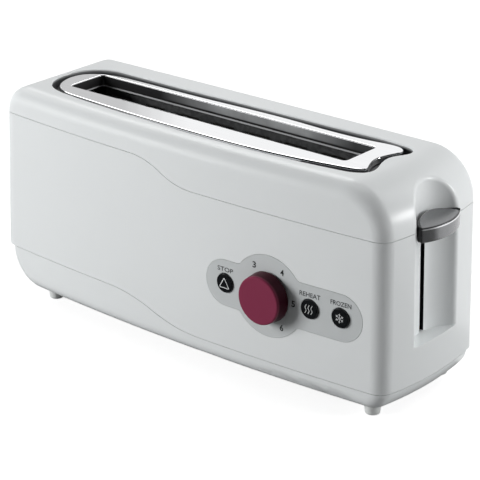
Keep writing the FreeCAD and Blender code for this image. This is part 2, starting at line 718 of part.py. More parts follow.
def foot_places():
    half_x = BODY_LENGTH / 2 - FOOT_MARGIN
    half_y = FOOT_SPACING_Y / 2
    return {
        "foot_front_left": (BOW_CENTRE - half_x, -half_y),
        "foot_front_right": (BOW_CENTRE + half_x, -half_y),
        "foot_rear_left": (BOW_CENTRE - half_x, half_y),
        "foot_rear_right": (BOW_CENTRE + half_x, half_y),
    }


def chassis_post_places():
    left = SLOT_LEFT + 4.3
    right = SLOT_RIGHT - 2.7
    return [(x, y) for x in (left, right) for y in (-CHASSIS_POST_Y, CHASSIS_POST_Y)]


def tray_opening():
    gap = TRAY_CLEARANCE
    low = BASE_FLOOR
    return box(TRAY_LEFT - gap, TRAY_RIGHT + gap, TRAY_FRONT - gap, FRONT_DEPTH * 2, low, TRAY_FACE_TOP + gap)


def base(forms):
    outer = base_form(0.0)
    hollow = outer.cut(base_form(WALL)).common(seam_block(False, -SEAM_GAP / 2, FORM_LOW * 2))
    above = seam_block(False, -SEAM_GAP / 2, BODY_HEIGHT * 2)
    core = forms[BASE_LIP_INSET]
    lip = forms[WALL + LIP_CLEARANCE].cut(core).common(seam_block(False, LIP_HEIGHT, FORM_LOW * 2)).common(above)
    below = seam_block(False, -SEAM_GAP / 2, FORM_LOW * 2)
    below = below.common(seam_block(False, -LIP_HEIGHT, BODY_HEIGHT * 2))
    step = forms[WALL / 2].cut(core).common(below).common(outer)
    extra = [step, lip]
    for x, y in foot_places().values():
        extra.append(upright(FOOT_RADIUS + 1.2, x, y, BASE_BOTTOM, BASE_FLOOR + 2))
    for x, y in post_places():
        extra.append(upright(POST_RADIUS, x, y, 0, lower_joint(x)).common(outer))
    for x, y in chassis_post_places():
        extra.append(upright(POST_RADIUS - 0.5, x, y, BASE_FLOOR - 0.5, CHASSIS_FLOOR_BOTTOM))
    gap = TRAY_CLEARANCE
    for x in (TRAY_LEFT - gap - 1.5, TRAY_RIGHT + gap):
        extra.append(box(x, x + 1.5, TRAY_FRONT, BASE_REAR - 6, BASE_FLOOR - 0.5, TRAY_RIM))
    shape = fused([hollow] + extra)
    cuts = [tray_opening().common(box(-BODY_LENGTH, BODY_LENGTH, BASE_REAR - 12, BODY_LENGTH, 0, BODY_HEIGHT))]
    for x, y in foot_places().values():
        cuts.append(upright(FOOT_STEM_RADIUS + THREAD_CLEARANCE, x, y, 0, BASE_FLOOR + 3))
    for x, y in post_places():
        seat = lower_joint(x) - 8.0
        cuts.append(upright(SCREW_HEAD_RADIUS + 0.5, x, y, 0, seat))
        cuts.append(upright(SCREW_RADIUS + SCREW_CLEARANCE, x, y, 0, seat + 10))
    for x, y in chassis_post_places():
        cuts.append(upright(SCREW_RADIUS + THREAD_CLEARANCE, x, y, BASE_FLOOR + 1.5, CHASSIS_FLOOR_TOP))
    return shape.cut(cuts)


def foot(x, y):
    pad = Part.makeCone(FOOT_RADIUS - 0.8, FOOT_RADIUS, FOOT_HEIGHT, Vector(x, y, 0))
    pad = soften(pad, 0.8, level_edges(pad, 0.0))
    return fused([pad, upright(FOOT_STEM_RADIUS, x, y, FOOT_HEIGHT - 1, BASE_FLOOR + 3.5)])


def slot_trim():
    ring = plateau_points()
    shape = plan_solid(ring, 0.0, FLANGE_BOTTOM, PLATEAU_TOP)
    shape = soften(shape, TRIM_EDGE_RADIUS, level_edges(shape, PLATEAU_TOP))
    shape = shape.fuse(plan_solid(opening_points(), FLANGE_OVERLAP, FLANGE_BOTTOM, FLANGE_TOP)).removeSplitter()
    shape = shape.cut(plan_solid(ring, -TRIM_SHEET, FLANGE_BOTTOM - 1, PLATEAU_TOP - TRIM_SHEET))
    shape = fused([shape, slot_solid(TRIM_SHEET, PLATEAU_TOP - TRIM_LIP_DEPTH, PLATEAU_TOP)])
    shape = shape.cut(slot_solid(0.0, PLATEAU_TOP - 2 * TRIM_LIP_DEPTH, PLATEAU_TOP + 1))
    rim = [e for e in level_edges(shape, PLATEAU_TOP) if abs(e.BoundBox.Center.x - SLOT_OFFSET) < SLOT_LENGTH]
    near = [e for e in rim if e.BoundBox.YMax < SLOT_HALF + 0.1 and e.BoundBox.YMin > -SLOT_HALF - 0.1]
    return soften(shape, TRIM_SHEET * 0.8, near)


# Control panel, knob and buttons

def control_panel():
    plate = panel_outline(0.0, -FRONT_DEPTH - 2, -FRONT_DEPTH + 12)
    plate = plate.common(front_bow(PANEL_RECESS - PANEL_THICKNESS)).cut(front_bow(PANEL_RECESS))
    pins = []
    for x, z in pin_places():
        back = front_face_y(x) + WALL + 1.5
        pins.append(across(1.5, x, z, -FRONT_DEPTH - 2, back).common(front_bow(PANEL_RECESS - 0.3)))
    plate = fused([plate] + pins)
    return plate.cut(panel_holes(-FRONT_DEPTH - 3, -FRONT_DEPTH + 12))


def knob_back():
    return front_face_y(DIAL_X) - (PANEL_THICKNESS - PANEL_RECESS) - KNOB_GAP


def browning_knob():
    back = knob_back()
    face = back - KNOB_DEPTH
    centre = Vector(DIAL_X, back, PANEL_HEIGHT)
    towards = Vector(0, -1, 0)
    shape = Part.makeCone(KNOB_RADIUS, KNOB_FACE_RADIUS, KNOB_DEPTH, centre, towards)
    rim = [e for e in shape.Edges if abs(e.BoundBox.YMax - face) < 0.01 and e.BoundBox.YLength < 0.01]
    shape = shape.makeFillet(1.2, rim)
    reach = KNOB_FACE_RADIUS + 2.0
    x = DIAL_X + reach * math.cos(math.radians(KNOB_NOTCH_ANGLE))
    z = PANEL_HEIGHT + reach * math.sin(math.radians(KNOB_NOTCH_ANGLE))
    shape = shape.cut(across(KNOB_NOTCH_RADIUS, x, z, face - 1, back - 2.0))
    hollow = Part.makeCone(KNOB_RADIUS - KNOB_SHELL, KNOB_FACE_RADIUS - KNOB_SHELL - 1, KNOB_DEPTH - KNOB_SHELL, centre, towards)
    hollow = hollow.cut(across(KNOB_HUB_RADIUS, DIAL_X, PANEL_HEIGHT, face, back + 1))
    bore = across(SHAFT_RADIUS + THREAD_CLEARANCE, DIAL_X, PANEL_HEIGHT, face + 3, back + 1)
    return shape.cut([hollow, bore])


def potentiometer_shaft():
    face = knob_back() - KNOB_DEPTH
    return across(SHAFT_RADIUS, DIAL_X, PANEL_HEIGHT, face + 3.2, BOARD_FRONT - 2)


def button(x):
    front = front_face_y(x) - BUTTON_PROUD
    reach = BUTTON_FLANGE
    back = max(front_face_y(x - reach), front_face_y(x + reach)) + WALL + REST_GAP
    cap = across(BUTTON_RADIUS, x, PANEL_HEIGHT, front, back + 0.5)
    rim = [e for e in cap.Edges if e.BoundBox.YMax < front + 0.01]
    cap = cap.makeFillet(0.8, rim)
    flange = across(BUTTON_FLANGE, x, PANEL_HEIGHT, back, back + 1.0)
    stem = across(BUTTON_STEM_RADIUS, x, PANEL_HEIGHT, back, STEM_END)
    return fused([cap, flange, stem])


# Circuit board and what it carries

def circuit_board():
    board = box(BOARD_LEFT, BOARD_RIGHT, BOARD_FRONT, BOARD_BACK, BOARD_BOTTOM, BOARD_TOP)
    return board.cut([across(1.4, x, z, BOARD_FRONT - 1, BOARD_BACK + 1) for x, z in board_holes()])


def board_screws():
    screws = []
    for x, z in board_holes():
        shank = across(1.2, x, z, BOARD_FRONT - 6, BOARD_BACK)
        screws.append(fused([shank, across(2.5, x, z, BOARD_BACK, BOARD_BACK + 1.8)]))
    return Part.makeCompound(screws)


def potentiometer():
    body = across(POT_RADIUS, DIAL_X, PANEL_HEIGHT, BOARD_FRONT - POT_DEPTH, BOARD_FRONT)
    neck = across(4.5, DIAL_X, PANEL_HEIGHT, BOARD_FRONT - POT_DEPTH - 2.5, BOARD_FRONT - 1)
    bore = across(SHAFT_RADIUS + SHAFT_CLEARANCE, DIAL_X, PANEL_HEIGHT, -FRONT_DEPTH, BOARD_FRONT - 1.5)
    return fused([body, neck]).cut(bore)


def tact_switch(x):
    half = SWITCH_SIZE / 2
    low = PANEL_HEIGHT - half
    can = box(x - half, x + half, BOARD_FRONT - SWITCH_DEPTH, BOARD_FRONT, low, low + SWITCH_SIZE)
    return fused([can, across(1.75, x, PANEL_HEIGHT, PLUNGER_TIP, BOARD_FRONT - 1)])


# Chassis, shields and heaters

def cage_slots(x0, x1):
    cuts = []
    low = CAGE_WIRE_RADIUS + CAGE_CLEARANCE
    inner = CAGE_Y - CAGE_TRAVEL - low
    outer = CAGE_Y + low
    for z in (CAGE_BOTTOM, CAGE_TOP):
        cuts.append(box(x0, x1, inner, outer, z - low, z + low))
        cuts.append(box(x0, x1, -outer, -inner, z - low, z + low))
    return cuts


def end_plate(x):
    plate = box(x, x + SHEET, -CHASSIS_HALF_WIDTH, CHASSIS_HALF_WIDTH, CHASSIS_FLOOR_BOTTOM, FLANGE_BOTTOM)
    half = RACK_TAB_HALF_WIDTH + 1.0
    rack_low = CARRIAGE_TOP - CARRIAGE_TRAVEL - 4.0
    cuts = cage_slots(x - 1, x + 2)
    cuts.append(box(x - 1, x + 2, -half, half, rack_low, CARRIAGE_TOP + 3))
    for y in (-CARD_Y, CARD_Y):
        cuts.append(box(x - 1, x + 2, y - 2.2, y + 2.2, CARD_TOP - 24, CARD_TOP - 14))
    return plate.cut(cuts)


def chassis_end_left():
    x = CHASSIS_LEFT
    shelf = box(x - 11, x + SHEET, -20, 12, FLANGE_BOTTOM - SHEET, FLANGE_BOTTOM)
    foot_shelf = box(x - 9, x + SHEET, -30, 30, CHASSIS_FLOOR_BOTTOM, CHASSIS_FLOOR_TOP)
    return fused([end_plate(x), shelf, foot_shelf])


def chassis_end_right():
    x = CHASSIS_RIGHT
    half = CHASSIS_HALF_WIDTH - 4
    low = box(x, SHELF_END, -CHASSIS_HALF_WIDTH, CHASSIS_HALF_WIDTH, CHASSIS_FLOOR_BOTTOM, CHASSIS_FLOOR_TOP)
    high = box(x, SHELF_END - 2, -half, half, FLANGE_BOTTOM - SHEET, FLANGE_BOTTOM)
    shape = fused([end_plate(x), low, high])
    pin = ROD_RADIUS - 0.7 + THREAD_CLEARANCE
    return shape.cut(upright(pin, ROD_X, ROD_Y, 0, BODY_HEIGHT))


def chassis_floor():
    left = CHASSIS_LEFT + SHEET
    half = CHASSIS_HALF_WIDTH
    sheet = box(left, CHASSIS_RIGHT, -half, half, CHASSIS_FLOOR_BOTTOM, CHASSIS_FLOOR_TOP)
    crumbs = box(TRAY_LEFT + 2, TRAY_RIGHT - 2, -24, 24, 0, BODY_HEIGHT)
    holes = [upright(SCREW_RADIUS + SCREW_CLEARANCE, x, y, 0, BODY_HEIGHT) for x, y in chassis_post_places()]
    return sheet.cut([crumbs] + holes)


def chassis_screws():
    screws = []
    for x, y in chassis_post_places():
        shank = upright(SCREW_RADIUS, x, y, BASE_FLOOR + 2, CHASSIS_FLOOR_TOP)
        screws.append(fused([shank, upright(3.0, x, y, CHASSIS_FLOOR_TOP, CHASSIS_FLOOR_TOP + 2)]))
    return Part.makeCompound(screws)


def case_screw(x, y, joint, length):
    seat = joint - 8.0
    shank = upright(SCREW_RADIUS, x, y, seat, joint + length)
    head = upright(SCREW_HEAD_RADIUS, x, y, seat - 2.2, seat)
    drive = box(x - 2.4, x + 2.4, y - 0.5, y + 0.5, seat - 2.3, seat - 1.2)
    return fused([shank, head]).cut([drive, box(x - 0.5, x + 0.5, y - 2.4, y + 2.4, seat - 2.3, seat - 1.2)])


def case_screws():
    return Part.makeCompound([case_screw(x, y, lower_joint(x), 10.0) for x, y in post_places()])


def cover_screws():
    screws = []
    for x, y in post_places():
        seat = upper_joint(x) - BOSS_LENGTH
        shank = upright(SCREW_RADIUS, x, y, seat, upper_joint(x) + 9)
        screws.append(fused([shank, upright(SCREW_HEAD_RADIUS, x, y, seat - 2.2, seat)]))
    return Part.makeCompound(screws)


def heat_shield(side):
    y0, y1 = sorted((side * SHIELD_Y, side * (SHIELD_Y + SHEET)))
    left = CHASSIS_LEFT + SHEET
    return box(left, CHASSIS_RIGHT, y0, y1, CHASSIS_FLOOR_TOP, SHIELD_TOP)


def heater_card(side):
    y0, y1 = sorted((side * CARD_Y, side * (CARD_Y + 0.8)))
    left = CHASSIS_LEFT + SHEET
    return box(left, CHASSIS_RIGHT, y0, y1, CARD_BOTTOM, CARD_TOP)


def heater_winding(side):
    """One ribbon laid up and down over the card, its two ends led out through the end plates."""
    y0, y1 = sorted((side * CARD_Y, side * (CARD_Y - RIBBON_THICKNESS)))
    left = CHASSIS_LEFT + 8
    pitch = (CHASSIS_RIGHT - 7 - RIBBON_WIDTH - left) / (RIBBON_TURNS - 1)
    low = CARD_BOTTOM + 5
    high = CARD_TOP - 5
    width = RIBBON_WIDTH
    pieces = []
    for index in range(RIBBON_TURNS):
        x = left + index * pitch
        foot_z = CARD_TOP - 20 if index in (0, RIBBON_TURNS - 1) else low
        pieces.append(box(x, x + width, y0, y1, foot_z, high))
        if index % 2 == 0:
            pieces.append(box(x, x + pitch + width, y0, y1, high - width, high))
        elif index < RIBBON_TURNS - 1:
            pieces.append(box(x, x + pitch + width, y0, y1, low, low + width))
    level = CARD_TOP - 20
    pieces.append(box(CHASSIS_LEFT - 4, left + width, y0, y1, level, level + width))
    pieces.append(box(left + (RIBBON_TURNS - 1) * pitch, CHASSIS_RIGHT + 5, y0, y1, level, level + width))
    return fused(pieces)


def guide_cage(side):
    """Welded wire grid that keeps the slices off the heater."""
    y = side * CAGE_Y
    left = CHASSIS_LEFT - CAGE_PIN
    right = CHASSIS_RIGHT + SHEET + CAGE_PIN
    radius = CAGE_WIRE_RADIUS
    wires = [along(radius, y, z, left, right) for z in (CAGE_BOTTOM, CAGE_TOP)]
    start = SLOT_OFFSET - (CAGE_WIRES - 1) * CAGE_PITCH / 2
    for index in range(CAGE_WIRES):
        x = start + index * CAGE_PITCH
        wires.append(upright(radius, x, y - side * 1.5, CAGE_BOTTOM - 2.5, CAGE_TOP + 2.5))
    return fused(wires)


# Bread carriage and its mechanism

def bread_carriage():
    low = CARRIAGE_TOP - RACK_SHEET
    left = CHASSIS_LEFT + SHEET + RACK_CLEARANCE
    right = CHASSIS_RIGHT - RACK_CLEARANCE
    rack = box(left, right, -RACK_HALF_WIDTH, RACK_HALF_WIDTH, low, CARRIAGE_TOP)
    tab = box(CHASSIS_LEFT - 4, BRACKET_RIGHT - 2, -RACK_TAB_HALF_WIDTH, RACK_TAB_HALF_WIDTH, low, CARRIAGE_TOP)
    count = int((right - left) / FINGER_PITCH)
    start = (left + right - (count - 1) * FINGER_PITCH) / 2
    fingers = []
    holes = []
    for index in range(count):
        x = start + index * FINGER_PITCH
        fingers.append(box(x - 0.6, x + 0.6, -5, 5, CARRIAGE_TOP - 0.5, CARRIAGE_TOP + FINGER_HEIGHT))
        if index < count - 1:
            middle = x + FINGER_PITCH / 2
            holes.append(box(middle - 7, middle + 7, -3, 3, low - 1, CARRIAGE_TOP + 1))
    return fused([rack, tab] + fingers).cut(holes)


def carriage_bracket():
    half = BRACKET_THICKNESS / 2
    shape = box(BRACKET_LEFT, BRACKET_RIGHT, -half, half, CARRIAGE_TOP, BRACKET_TOP)
    tongue = box(BRACKET_RIGHT - 2, TONGUE_END, -half, half, TONGUE_BOTTOM, TONGUE_TOP)
    lug = box(MAGNET_X - 9, MAGNET_X + 9, MAGNET_Y - 8, half, LUG_BOTTOM, LUG_TOP)
    striker_low = CARRIAGE_TOP + STRIKER_HEIGHT
    striker = box(BRACKET_RIGHT - 10, BRACKET_RIGHT - 4, 0, 16, striker_low, striker_low + 2)
    collars = []
    bores = []
    for z in (CARRIAGE_TOP + 0.8, BRACKET_TOP - COLLAR_HEIGHT):
        collars.append(upright(COLLAR_RADIUS, ROD_X, ROD_Y, z, z + COLLAR_HEIGHT))
        bores.append(upright(ROD_RADIUS + COLLAR_CLEARANCE, ROD_X, ROD_Y, z - 1, z + COLLAR_HEIGHT + 1))
    hook = upright(1.2, SPRING_X, SPRING_Y, LUG_BOTTOM - 1, LUG_TOP + 1)
    return fused([shape, tongue, lug, striker] + collars).cut(bores + [hook])


def guide_rod():
    pin = ROD_RADIUS - 0.7
    rod = upright(ROD_RADIUS, ROD_X, ROD_Y, CHASSIS_FLOOR_TOP, FLANGE_BOTTOM - SHEET)
    return fused([rod, upright(pin, ROD_X, ROD_Y, CHASSIS_FLOOR_BOTTOM, FLANGE_BOTTOM)])


def stop_bumper():
    low = BRACKET_TOP + REST_GAP
    ring = upright(COLLAR_RADIUS, ROD_X, ROD_Y, low, low + 4)
    return ring.cut(upright(ROD_RADIUS + THREAD_CLEARANCE, ROD_X, ROD_Y, low - 1, low + 5))


def carriage_spring():
    """Open coil between the lug of the bracket and the upper shelf."""
    low = LUG_TOP + 0.3
    high = FLANGE_BOTTOM - SHEET - 0.1
    wire = SPRING_WIRE_RADIUS
    pitch = (high - low - 2 * wire) / SPRING_TURNS
    path = Part.makeHelix(pitch, pitch * SPRING_TURNS, SPRING_RADIUS)
    path.translate(Vector(SPRING_X, SPRING_Y, low + wire))
    ring = []
    for turn in range(0, 360, 60):
        x = SPRING_X + SPRING_RADIUS + wire * math.cos(math.radians(turn))
        ring.append(Vector(x, SPRING_Y, low + wire + wire * math.sin(math.radians(turn))))
    return Part.Wire(path.Edges).makePipeShell([Part.Wire(lines(ring))], True, True)


def armature_plate():
    return box(MAGNET_X - 8, MAGNET_X + 8, MAGNET_Y - 7, MAGNET_Y + 7, ARMATURE_BOTTOM, LUG_BOTTOM)


def electromagnet():
    x = MAGNET_X
    y = MAGNET_Y
    foot_z = CHASSIS_FLOOR_TOP
    yoke = box(x - 8, x + 8, y - 8, y + 8, foot_z, foot_z + 4)
    core = box(x - 3, x + 3, y - 3, y + 3, foot_z + 3, MAGNET_TOP)
    legs = [box(x - 8, x - 6, y - 8, y + 8, foot_z + 3, MAGNET_TOP), box(x + 6, x + 8, y - 8, y + 8, foot_z + 3, MAGNET_TOP)]
    return fused([yoke, core] + legs)


def magnet_coil():
    x = MAGNET_X
    y = MAGNET_Y
    low = CHASSIS_FLOOR_TOP + 4
    high = MAGNET_TOP - 1.5
    coil = box(x - 5.7, x + 5.7, y - 8, y + 8, low, high)
    corners = [e for e in coil.Edges if e.BoundBox.ZLength > 1]
    coil = coil.makeFillet(2.0, corners)
    return coil.cut(box(x - 3, x + 3, y - 3, y + 3, low - 1, high + 1))


def mains_switch():
    low = CHASSIS_FLOOR_TOP
    high = CARRIAGE_LOW + STRIKER_HEIGHT - REST_GAP - 0.5
    body = box(BRACKET_RIGHT - 12, SHELF_END - 1, 20, 34, low, high)
    return body.cut(box(BRACKET_RIGHT - 10, SHELF_END - 3, 20 - 1, 24, low + 2, high - 2))


def contact_blades():
    """Two spring leaves that the striker presses at the end of the travel."""
    top = CARRIAGE_LOW + STRIKER_HEIGHT - REST_GAP
    blades = []
    for x in (BRACKET_RIGHT - 10.5, BRACKET_RIGHT - 6.0):
        blades.append(box(x, x + 2.5, 10, 33, top - 0.5, top))
    return Part.makeCompound(blades)


# Lever

def lever_plan(back_gap, front_cut, z0, z1):
    """Lens in plan: its back follows the recess, its front is a flatter arc."""
    centre = RECESS_FLOOR + RECESS_RADIUS
    back = upright(RECESS_RADIUS - back_gap, centre, 0, z0, z1)
    front = upright(LEVER_ARC_RADIUS - front_cut, LEVER_REACH - LEVER_ARC_RADIUS, 0, z0, z1)
    half = LEVER_HALF_WIDTH
    return back.common(front).common(box(RECESS_FLOOR, LEVER_REACH + 1, -half, half, z0, z1))


def lever_top():
    """Everything under the cone that slopes the lever's top towards its front."""
    axis = Vector(LEVER_REACH - LEVER_ARC_RADIUS, 0, 0)
    low = Vector(axis.x, 0, LEVER_BOTTOM - 1)
    rise = (LEVER_BACK_HEIGHT - LEVER_FRONT_HEIGHT) / (LEVER_REACH - RECESS_FLOOR)
    rim = LEVER_BOTTOM + LEVER_FRONT_HEIGHT - rise
    peak = rim + rise * (LEVER_ARC_RADIUS + 1)
    ring = [low, low + Vector(LEVER_ARC_RADIUS + 1, 0, 0), Vector(LEVER_REACH + 1, 0, rim), Vector(axis.x, 0, peak)]
    return ring_face(lines(ring)).revolve(axis, Vector(0, 0, 1), 360)


def lever_handle():
    high = LEVER_BOTTOM + 2 * LEVER_BACK_HEIGHT
    shape = lever_plan(LEVER_GAP + LEVER_CORE_DEPTH + 0.1, 0.0, LEVER_BOTTOM, high).common(lever_top())
    shape = soften(shape, 0.8, shape.Edges)
    hollow = lever_plan(LEVER_GAP + LEVER_CORE_DEPTH, 3.0, LEVER_BOTTOM - 1, TONGUE_TOP + 0.6)
    half = LEVER_HALF_WIDTH - 6
    return shape.cut(hollow.common(box(0, BODY_LENGTH, -half, half, 0, BODY_HEIGHT)))


def lever_core():
    """Black backing of the lever, clipped over the carriage tongue."""
    sheet = lever_plan(LEVER_GAP, 0.0, LEVER_BOTTOM + 0.5, LEVER_BOTTOM + LEVER_FRONT_HEIGHT + 1.0)
    sheet = sheet.cut(upright(RECESS_RADIUS - LEVER_GAP - LEVER_CORE_DEPTH, RECESS_FLOOR + RECESS_RADIUS, 0, 0, BODY_HEIGHT))
    hub = box(RECESS_FLOOR + LEVER_GAP + 1, TONGUE_END + 1.2, -4, 4, LEVER_BOTTOM + 0.5, TONGUE_TOP + 0.4)
    gap = BRACKET_THICKNESS / 2
    tongue = box(0, TONGUE_END, -gap, gap, TONGUE_BOTTOM, TONGUE_TOP)
    return fused([sheet, hub]).cut(tongue)


# Crumb tray and gland

def crumb_tray(outer):
    low = BASE_FLOOR + REST_GAP
    rear = BASE_REAR - 4
    sheet = TRAY_SHEET
    tray = box(TRAY_LEFT, TRAY_RIGHT, TRAY_FRONT, rear, low, TRAY_RIM)
    tray = tray.cut(box(TRAY_LEFT + sheet, TRAY_RIGHT - sheet, TRAY_FRONT + sheet, rear + 1, low + sheet, BODY_HEIGHT))
    face = box(TRAY_LEFT, TRAY_RIGHT, rear - 1, FRONT_DEPTH, low, TRAY_FACE_TOP).common(outer)
    pull = box(SLOT_OFFSET - 20, SLOT_OFFSET + 20, rear, REAR_DEPTH - 0.7, low + 3, low + 4.6)
    rim = [e for e in pull.Edges if e.BoundBox.ZLength > 1 and e.BoundBox.YMin > rear + 1]
    pull = pull.makeFillet(3.0, rim)
    return fused([tray, face, pull])


def cord_gland():
    """Bushing for the mains lead in the rear wall."""
    face = rear_face_y(GLAND_X - GLAND_FLANGE, REAR_DEPTH)
    inside = rear_face_y(GLAND_X + GLAND_FLANGE, REAR_DEPTH) - WALL
    flange = across(GLAND_FLANGE, GLAND_X, GLAND_Z, face, face + 2)
    flange = soften(flange, 0.8, [e for e in flange.Edges if e.BoundBox.YMin > face + 1.9])
    neck = across(GLAND_NECK, GLAND_X, GLAND_Z, face - 9, face + 1)
    nut = across(GLAND_FLANGE, GLAND_X, GLAND_Z, inside - 4, inside)
    bore = across(GLAND_BORE, GLAND_X, GLAND_Z, face - 10, face + 3)
    return fused([flange, neck, nut]).cut(bore)


def build():
    insets = (0.0, WALL / 2, WALL, WALL + LIP_CLEARANCE, SHELL_LIP_INSET, BASE_LIP_INSET)
    forms = {inset: housing_form(inset) for inset in insets}
    nodes = {}
    nodes["top_cover"], nodes["body_shell"] = housing_parts(forms)
    nodes["base"] = base(forms)
    nodes["slot_trim"] = slot_trim()
    nodes["control_panel"] = control_panel()
    nodes["browning_knob"] = browning_knob()
    nodes["potentiometer_shaft"] = potentiometer_shaft()
    for name, x in zip(("stop", "reheat", "frozen"), button_places()):
        nodes[name + "_button"] = button(x)
        nodes[name + "_switch"] = tact_switch(x)
    nodes["circuit_board"] = circuit_board()
    nodes["board_screws"] = board_screws()
    nodes["potentiometer"] = potentiometer()
    for name, place in foot_places().items():
        nodes[name] = foot(*place)
    nodes["crumb_tray"] = crumb_tray(base_form(0.1))
    nodes["case_screws"] = case_screws()
    nodes["cover_screws"] = cover_screws()
    nodes["cord_gland"] = cord_gland()
    nodes["chassis_end_left"] = chassis_end_left()
    nodes["chassis_end_right"] = chassis_end_right()
    nodes["chassis_floor"] = chassis_floor()
    nodes["chassis_screws"] = chassis_screws()
    for name, side in (("front", -1), ("rear", 1)):
        nodes["heat_shield_" + name] = heat_shield(side)
        nodes["heater_card_" + name] = heater_card(side)
        nodes["heater_winding_" + name] = heater_winding(side)
        nodes["guide_cage_" + name] = guide_cage(side)
    nodes["bread_carriage"] = bread_carriage()
    nodes["carriage_bracket"] = carriage_bracket()
    nodes["guide_rod"] = guide_rod()
    nodes["stop_bumper"] = stop_bumper()
    nodes["carriage_spring"] = carriage_spring()
    nodes["armature_plate"] = armature_plate()
    nodes["electromagnet"] = electromagnet()
    nodes["magnet_coil"] = magnet_coil()
    nodes["mains_switch"] = mains_switch()
    nodes["contact_blades"] = contact_blades()
    nodes["lever_handle"] = lever_handle()
    nodes["lever_core"] = lever_core()
    return nodes


def main():
    nodes = build()
    whole = Part.makeCompound(list(nodes.values())).optimalBoundingBox(False)
    middle = Vector(-whole.Center.x, -whole.Center.y, -whole.ZMin)
    os.makedirs("parts", exist_ok=True)
    for name, shape in nodes.items():
        shape.translate(middle)
        shape.exportStep("parts/" + name + ".step")


main()
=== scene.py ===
import math

import bpy
import numpy as np
from mathutils import Matrix, Vector


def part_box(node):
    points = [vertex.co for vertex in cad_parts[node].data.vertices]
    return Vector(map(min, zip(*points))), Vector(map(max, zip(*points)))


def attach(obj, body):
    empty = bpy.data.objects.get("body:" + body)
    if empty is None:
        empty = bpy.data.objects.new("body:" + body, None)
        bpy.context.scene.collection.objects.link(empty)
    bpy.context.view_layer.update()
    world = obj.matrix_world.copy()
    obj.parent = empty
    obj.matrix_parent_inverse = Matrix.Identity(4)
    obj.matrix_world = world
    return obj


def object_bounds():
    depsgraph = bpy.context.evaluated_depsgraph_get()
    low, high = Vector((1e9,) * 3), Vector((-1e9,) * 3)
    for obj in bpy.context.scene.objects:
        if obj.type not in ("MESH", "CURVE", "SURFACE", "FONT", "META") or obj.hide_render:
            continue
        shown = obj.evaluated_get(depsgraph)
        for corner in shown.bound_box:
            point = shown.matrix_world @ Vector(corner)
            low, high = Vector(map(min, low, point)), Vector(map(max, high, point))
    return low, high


# Looks of a long-slot toaster: its finishes, printed marks, button symbols, light, floor and camera.
# Lengths are in metres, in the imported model's own frame.

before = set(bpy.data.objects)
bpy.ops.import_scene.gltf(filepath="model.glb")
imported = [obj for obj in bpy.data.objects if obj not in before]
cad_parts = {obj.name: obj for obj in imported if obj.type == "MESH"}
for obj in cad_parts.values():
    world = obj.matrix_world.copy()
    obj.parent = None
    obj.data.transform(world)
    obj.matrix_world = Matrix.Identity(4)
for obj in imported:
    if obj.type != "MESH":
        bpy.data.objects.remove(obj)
cad_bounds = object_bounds()


def middle(node, axis):
    """Halfway between a node's lowest and highest corner along one axis."""
    low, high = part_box(node)
    return (low[axis] + high[axis]) / 2


# Places taken from the frame
DIAL_X = middle("potentiometer_shaft", 0)
DIAL_Z = middle("potentiometer_shaft", 2)
BOARD_FRONT_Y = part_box("circuit_board")[0][1]
SLOT_MIDDLE_Y = middle("bread_carriage", 1)
RECESS_FLOOR_X = DIAL_X + 0.0847
TRIM_LOW, TRIM_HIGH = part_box("slot_trim")

# Axes of the frame
ALONG_X, ALONG_Y, ALONG_Z = (1, 0, 0), (0, 1, 0), (0, 0, 1)

# The panel's face: before the circuit board, bowed along the front and leaning back
BOARD_SETBACK = 0.0167
PANEL_PROUD = 0.0001
FRONT_BOW = 1.85
BOW_CENTRE_X = DIAL_X - 0.0751
FRONT_DRAFT = 0.0086

# Soft edge of every shaded place
SOFT_EDGE = 0.0002

# Places of the housing darkened as painted shade: the lever's slot and the well round the trim
LEVER_SLOT_HALF = 0.00222
LEVER_SLOT_X = (RECESS_FLOOR_X - 0.006, RECESS_FLOOR_X + 0.03)
LEVER_SLOT_Z = (0.0490, 0.130)
WELL_REACH = 0.0040
WELL_FRONT = 0.0050
WELL_EDGE = 0.0004
WELL_SHADE = 0.0014

# Places of the trim with painted light: its flange, dark with painted shade, its outer rim, a painted dark
# reflection measured down from the top, and the bread slot's lip, whose lines of painted highlight and
# painted shade are measured up from the foot and whose fades into painted shade are measured inwards from its
# two ends
BELOW_TRIM = TRIM_LOW[2] - 0.001
FLANGE_TOP = TRIM_HIGH[2] - 0.0044
TRIM_RIM = (0.0007, 0.0004)
LIP_HALF = 0.0190
LIP_X = (DIAL_X - 0.2253, DIAL_X + 0.0335)
LIP_TOP = TRIM_HIGH[2] - 0.0008
LIP_LEFT_FADE = (0.06, 0.12)
LIP_RIGHT_FADE = (0.06, 0.02)
FOOT_LINE = (0.0010, 0.0014)
LIP_LINE = (0.0024, 0.0032)

# The lever's rim lines of painted highlight and painted shade, the edge of the knob's face where the painted
# shade of its side begins, and the painted shade at the shield's top, each measured from the part's own edge
LEVER_RIM_DROP = 0.0033
LEVER_PAINTED_HIGHLIGHT = (0.0014, 0.0008)
LEVER_PAINTED_SHADE = 0.0004
KNOB_FACE_EDGE = (0.0012, 0.0028)
SHIELD_DARK = (0.0125, 0.008)

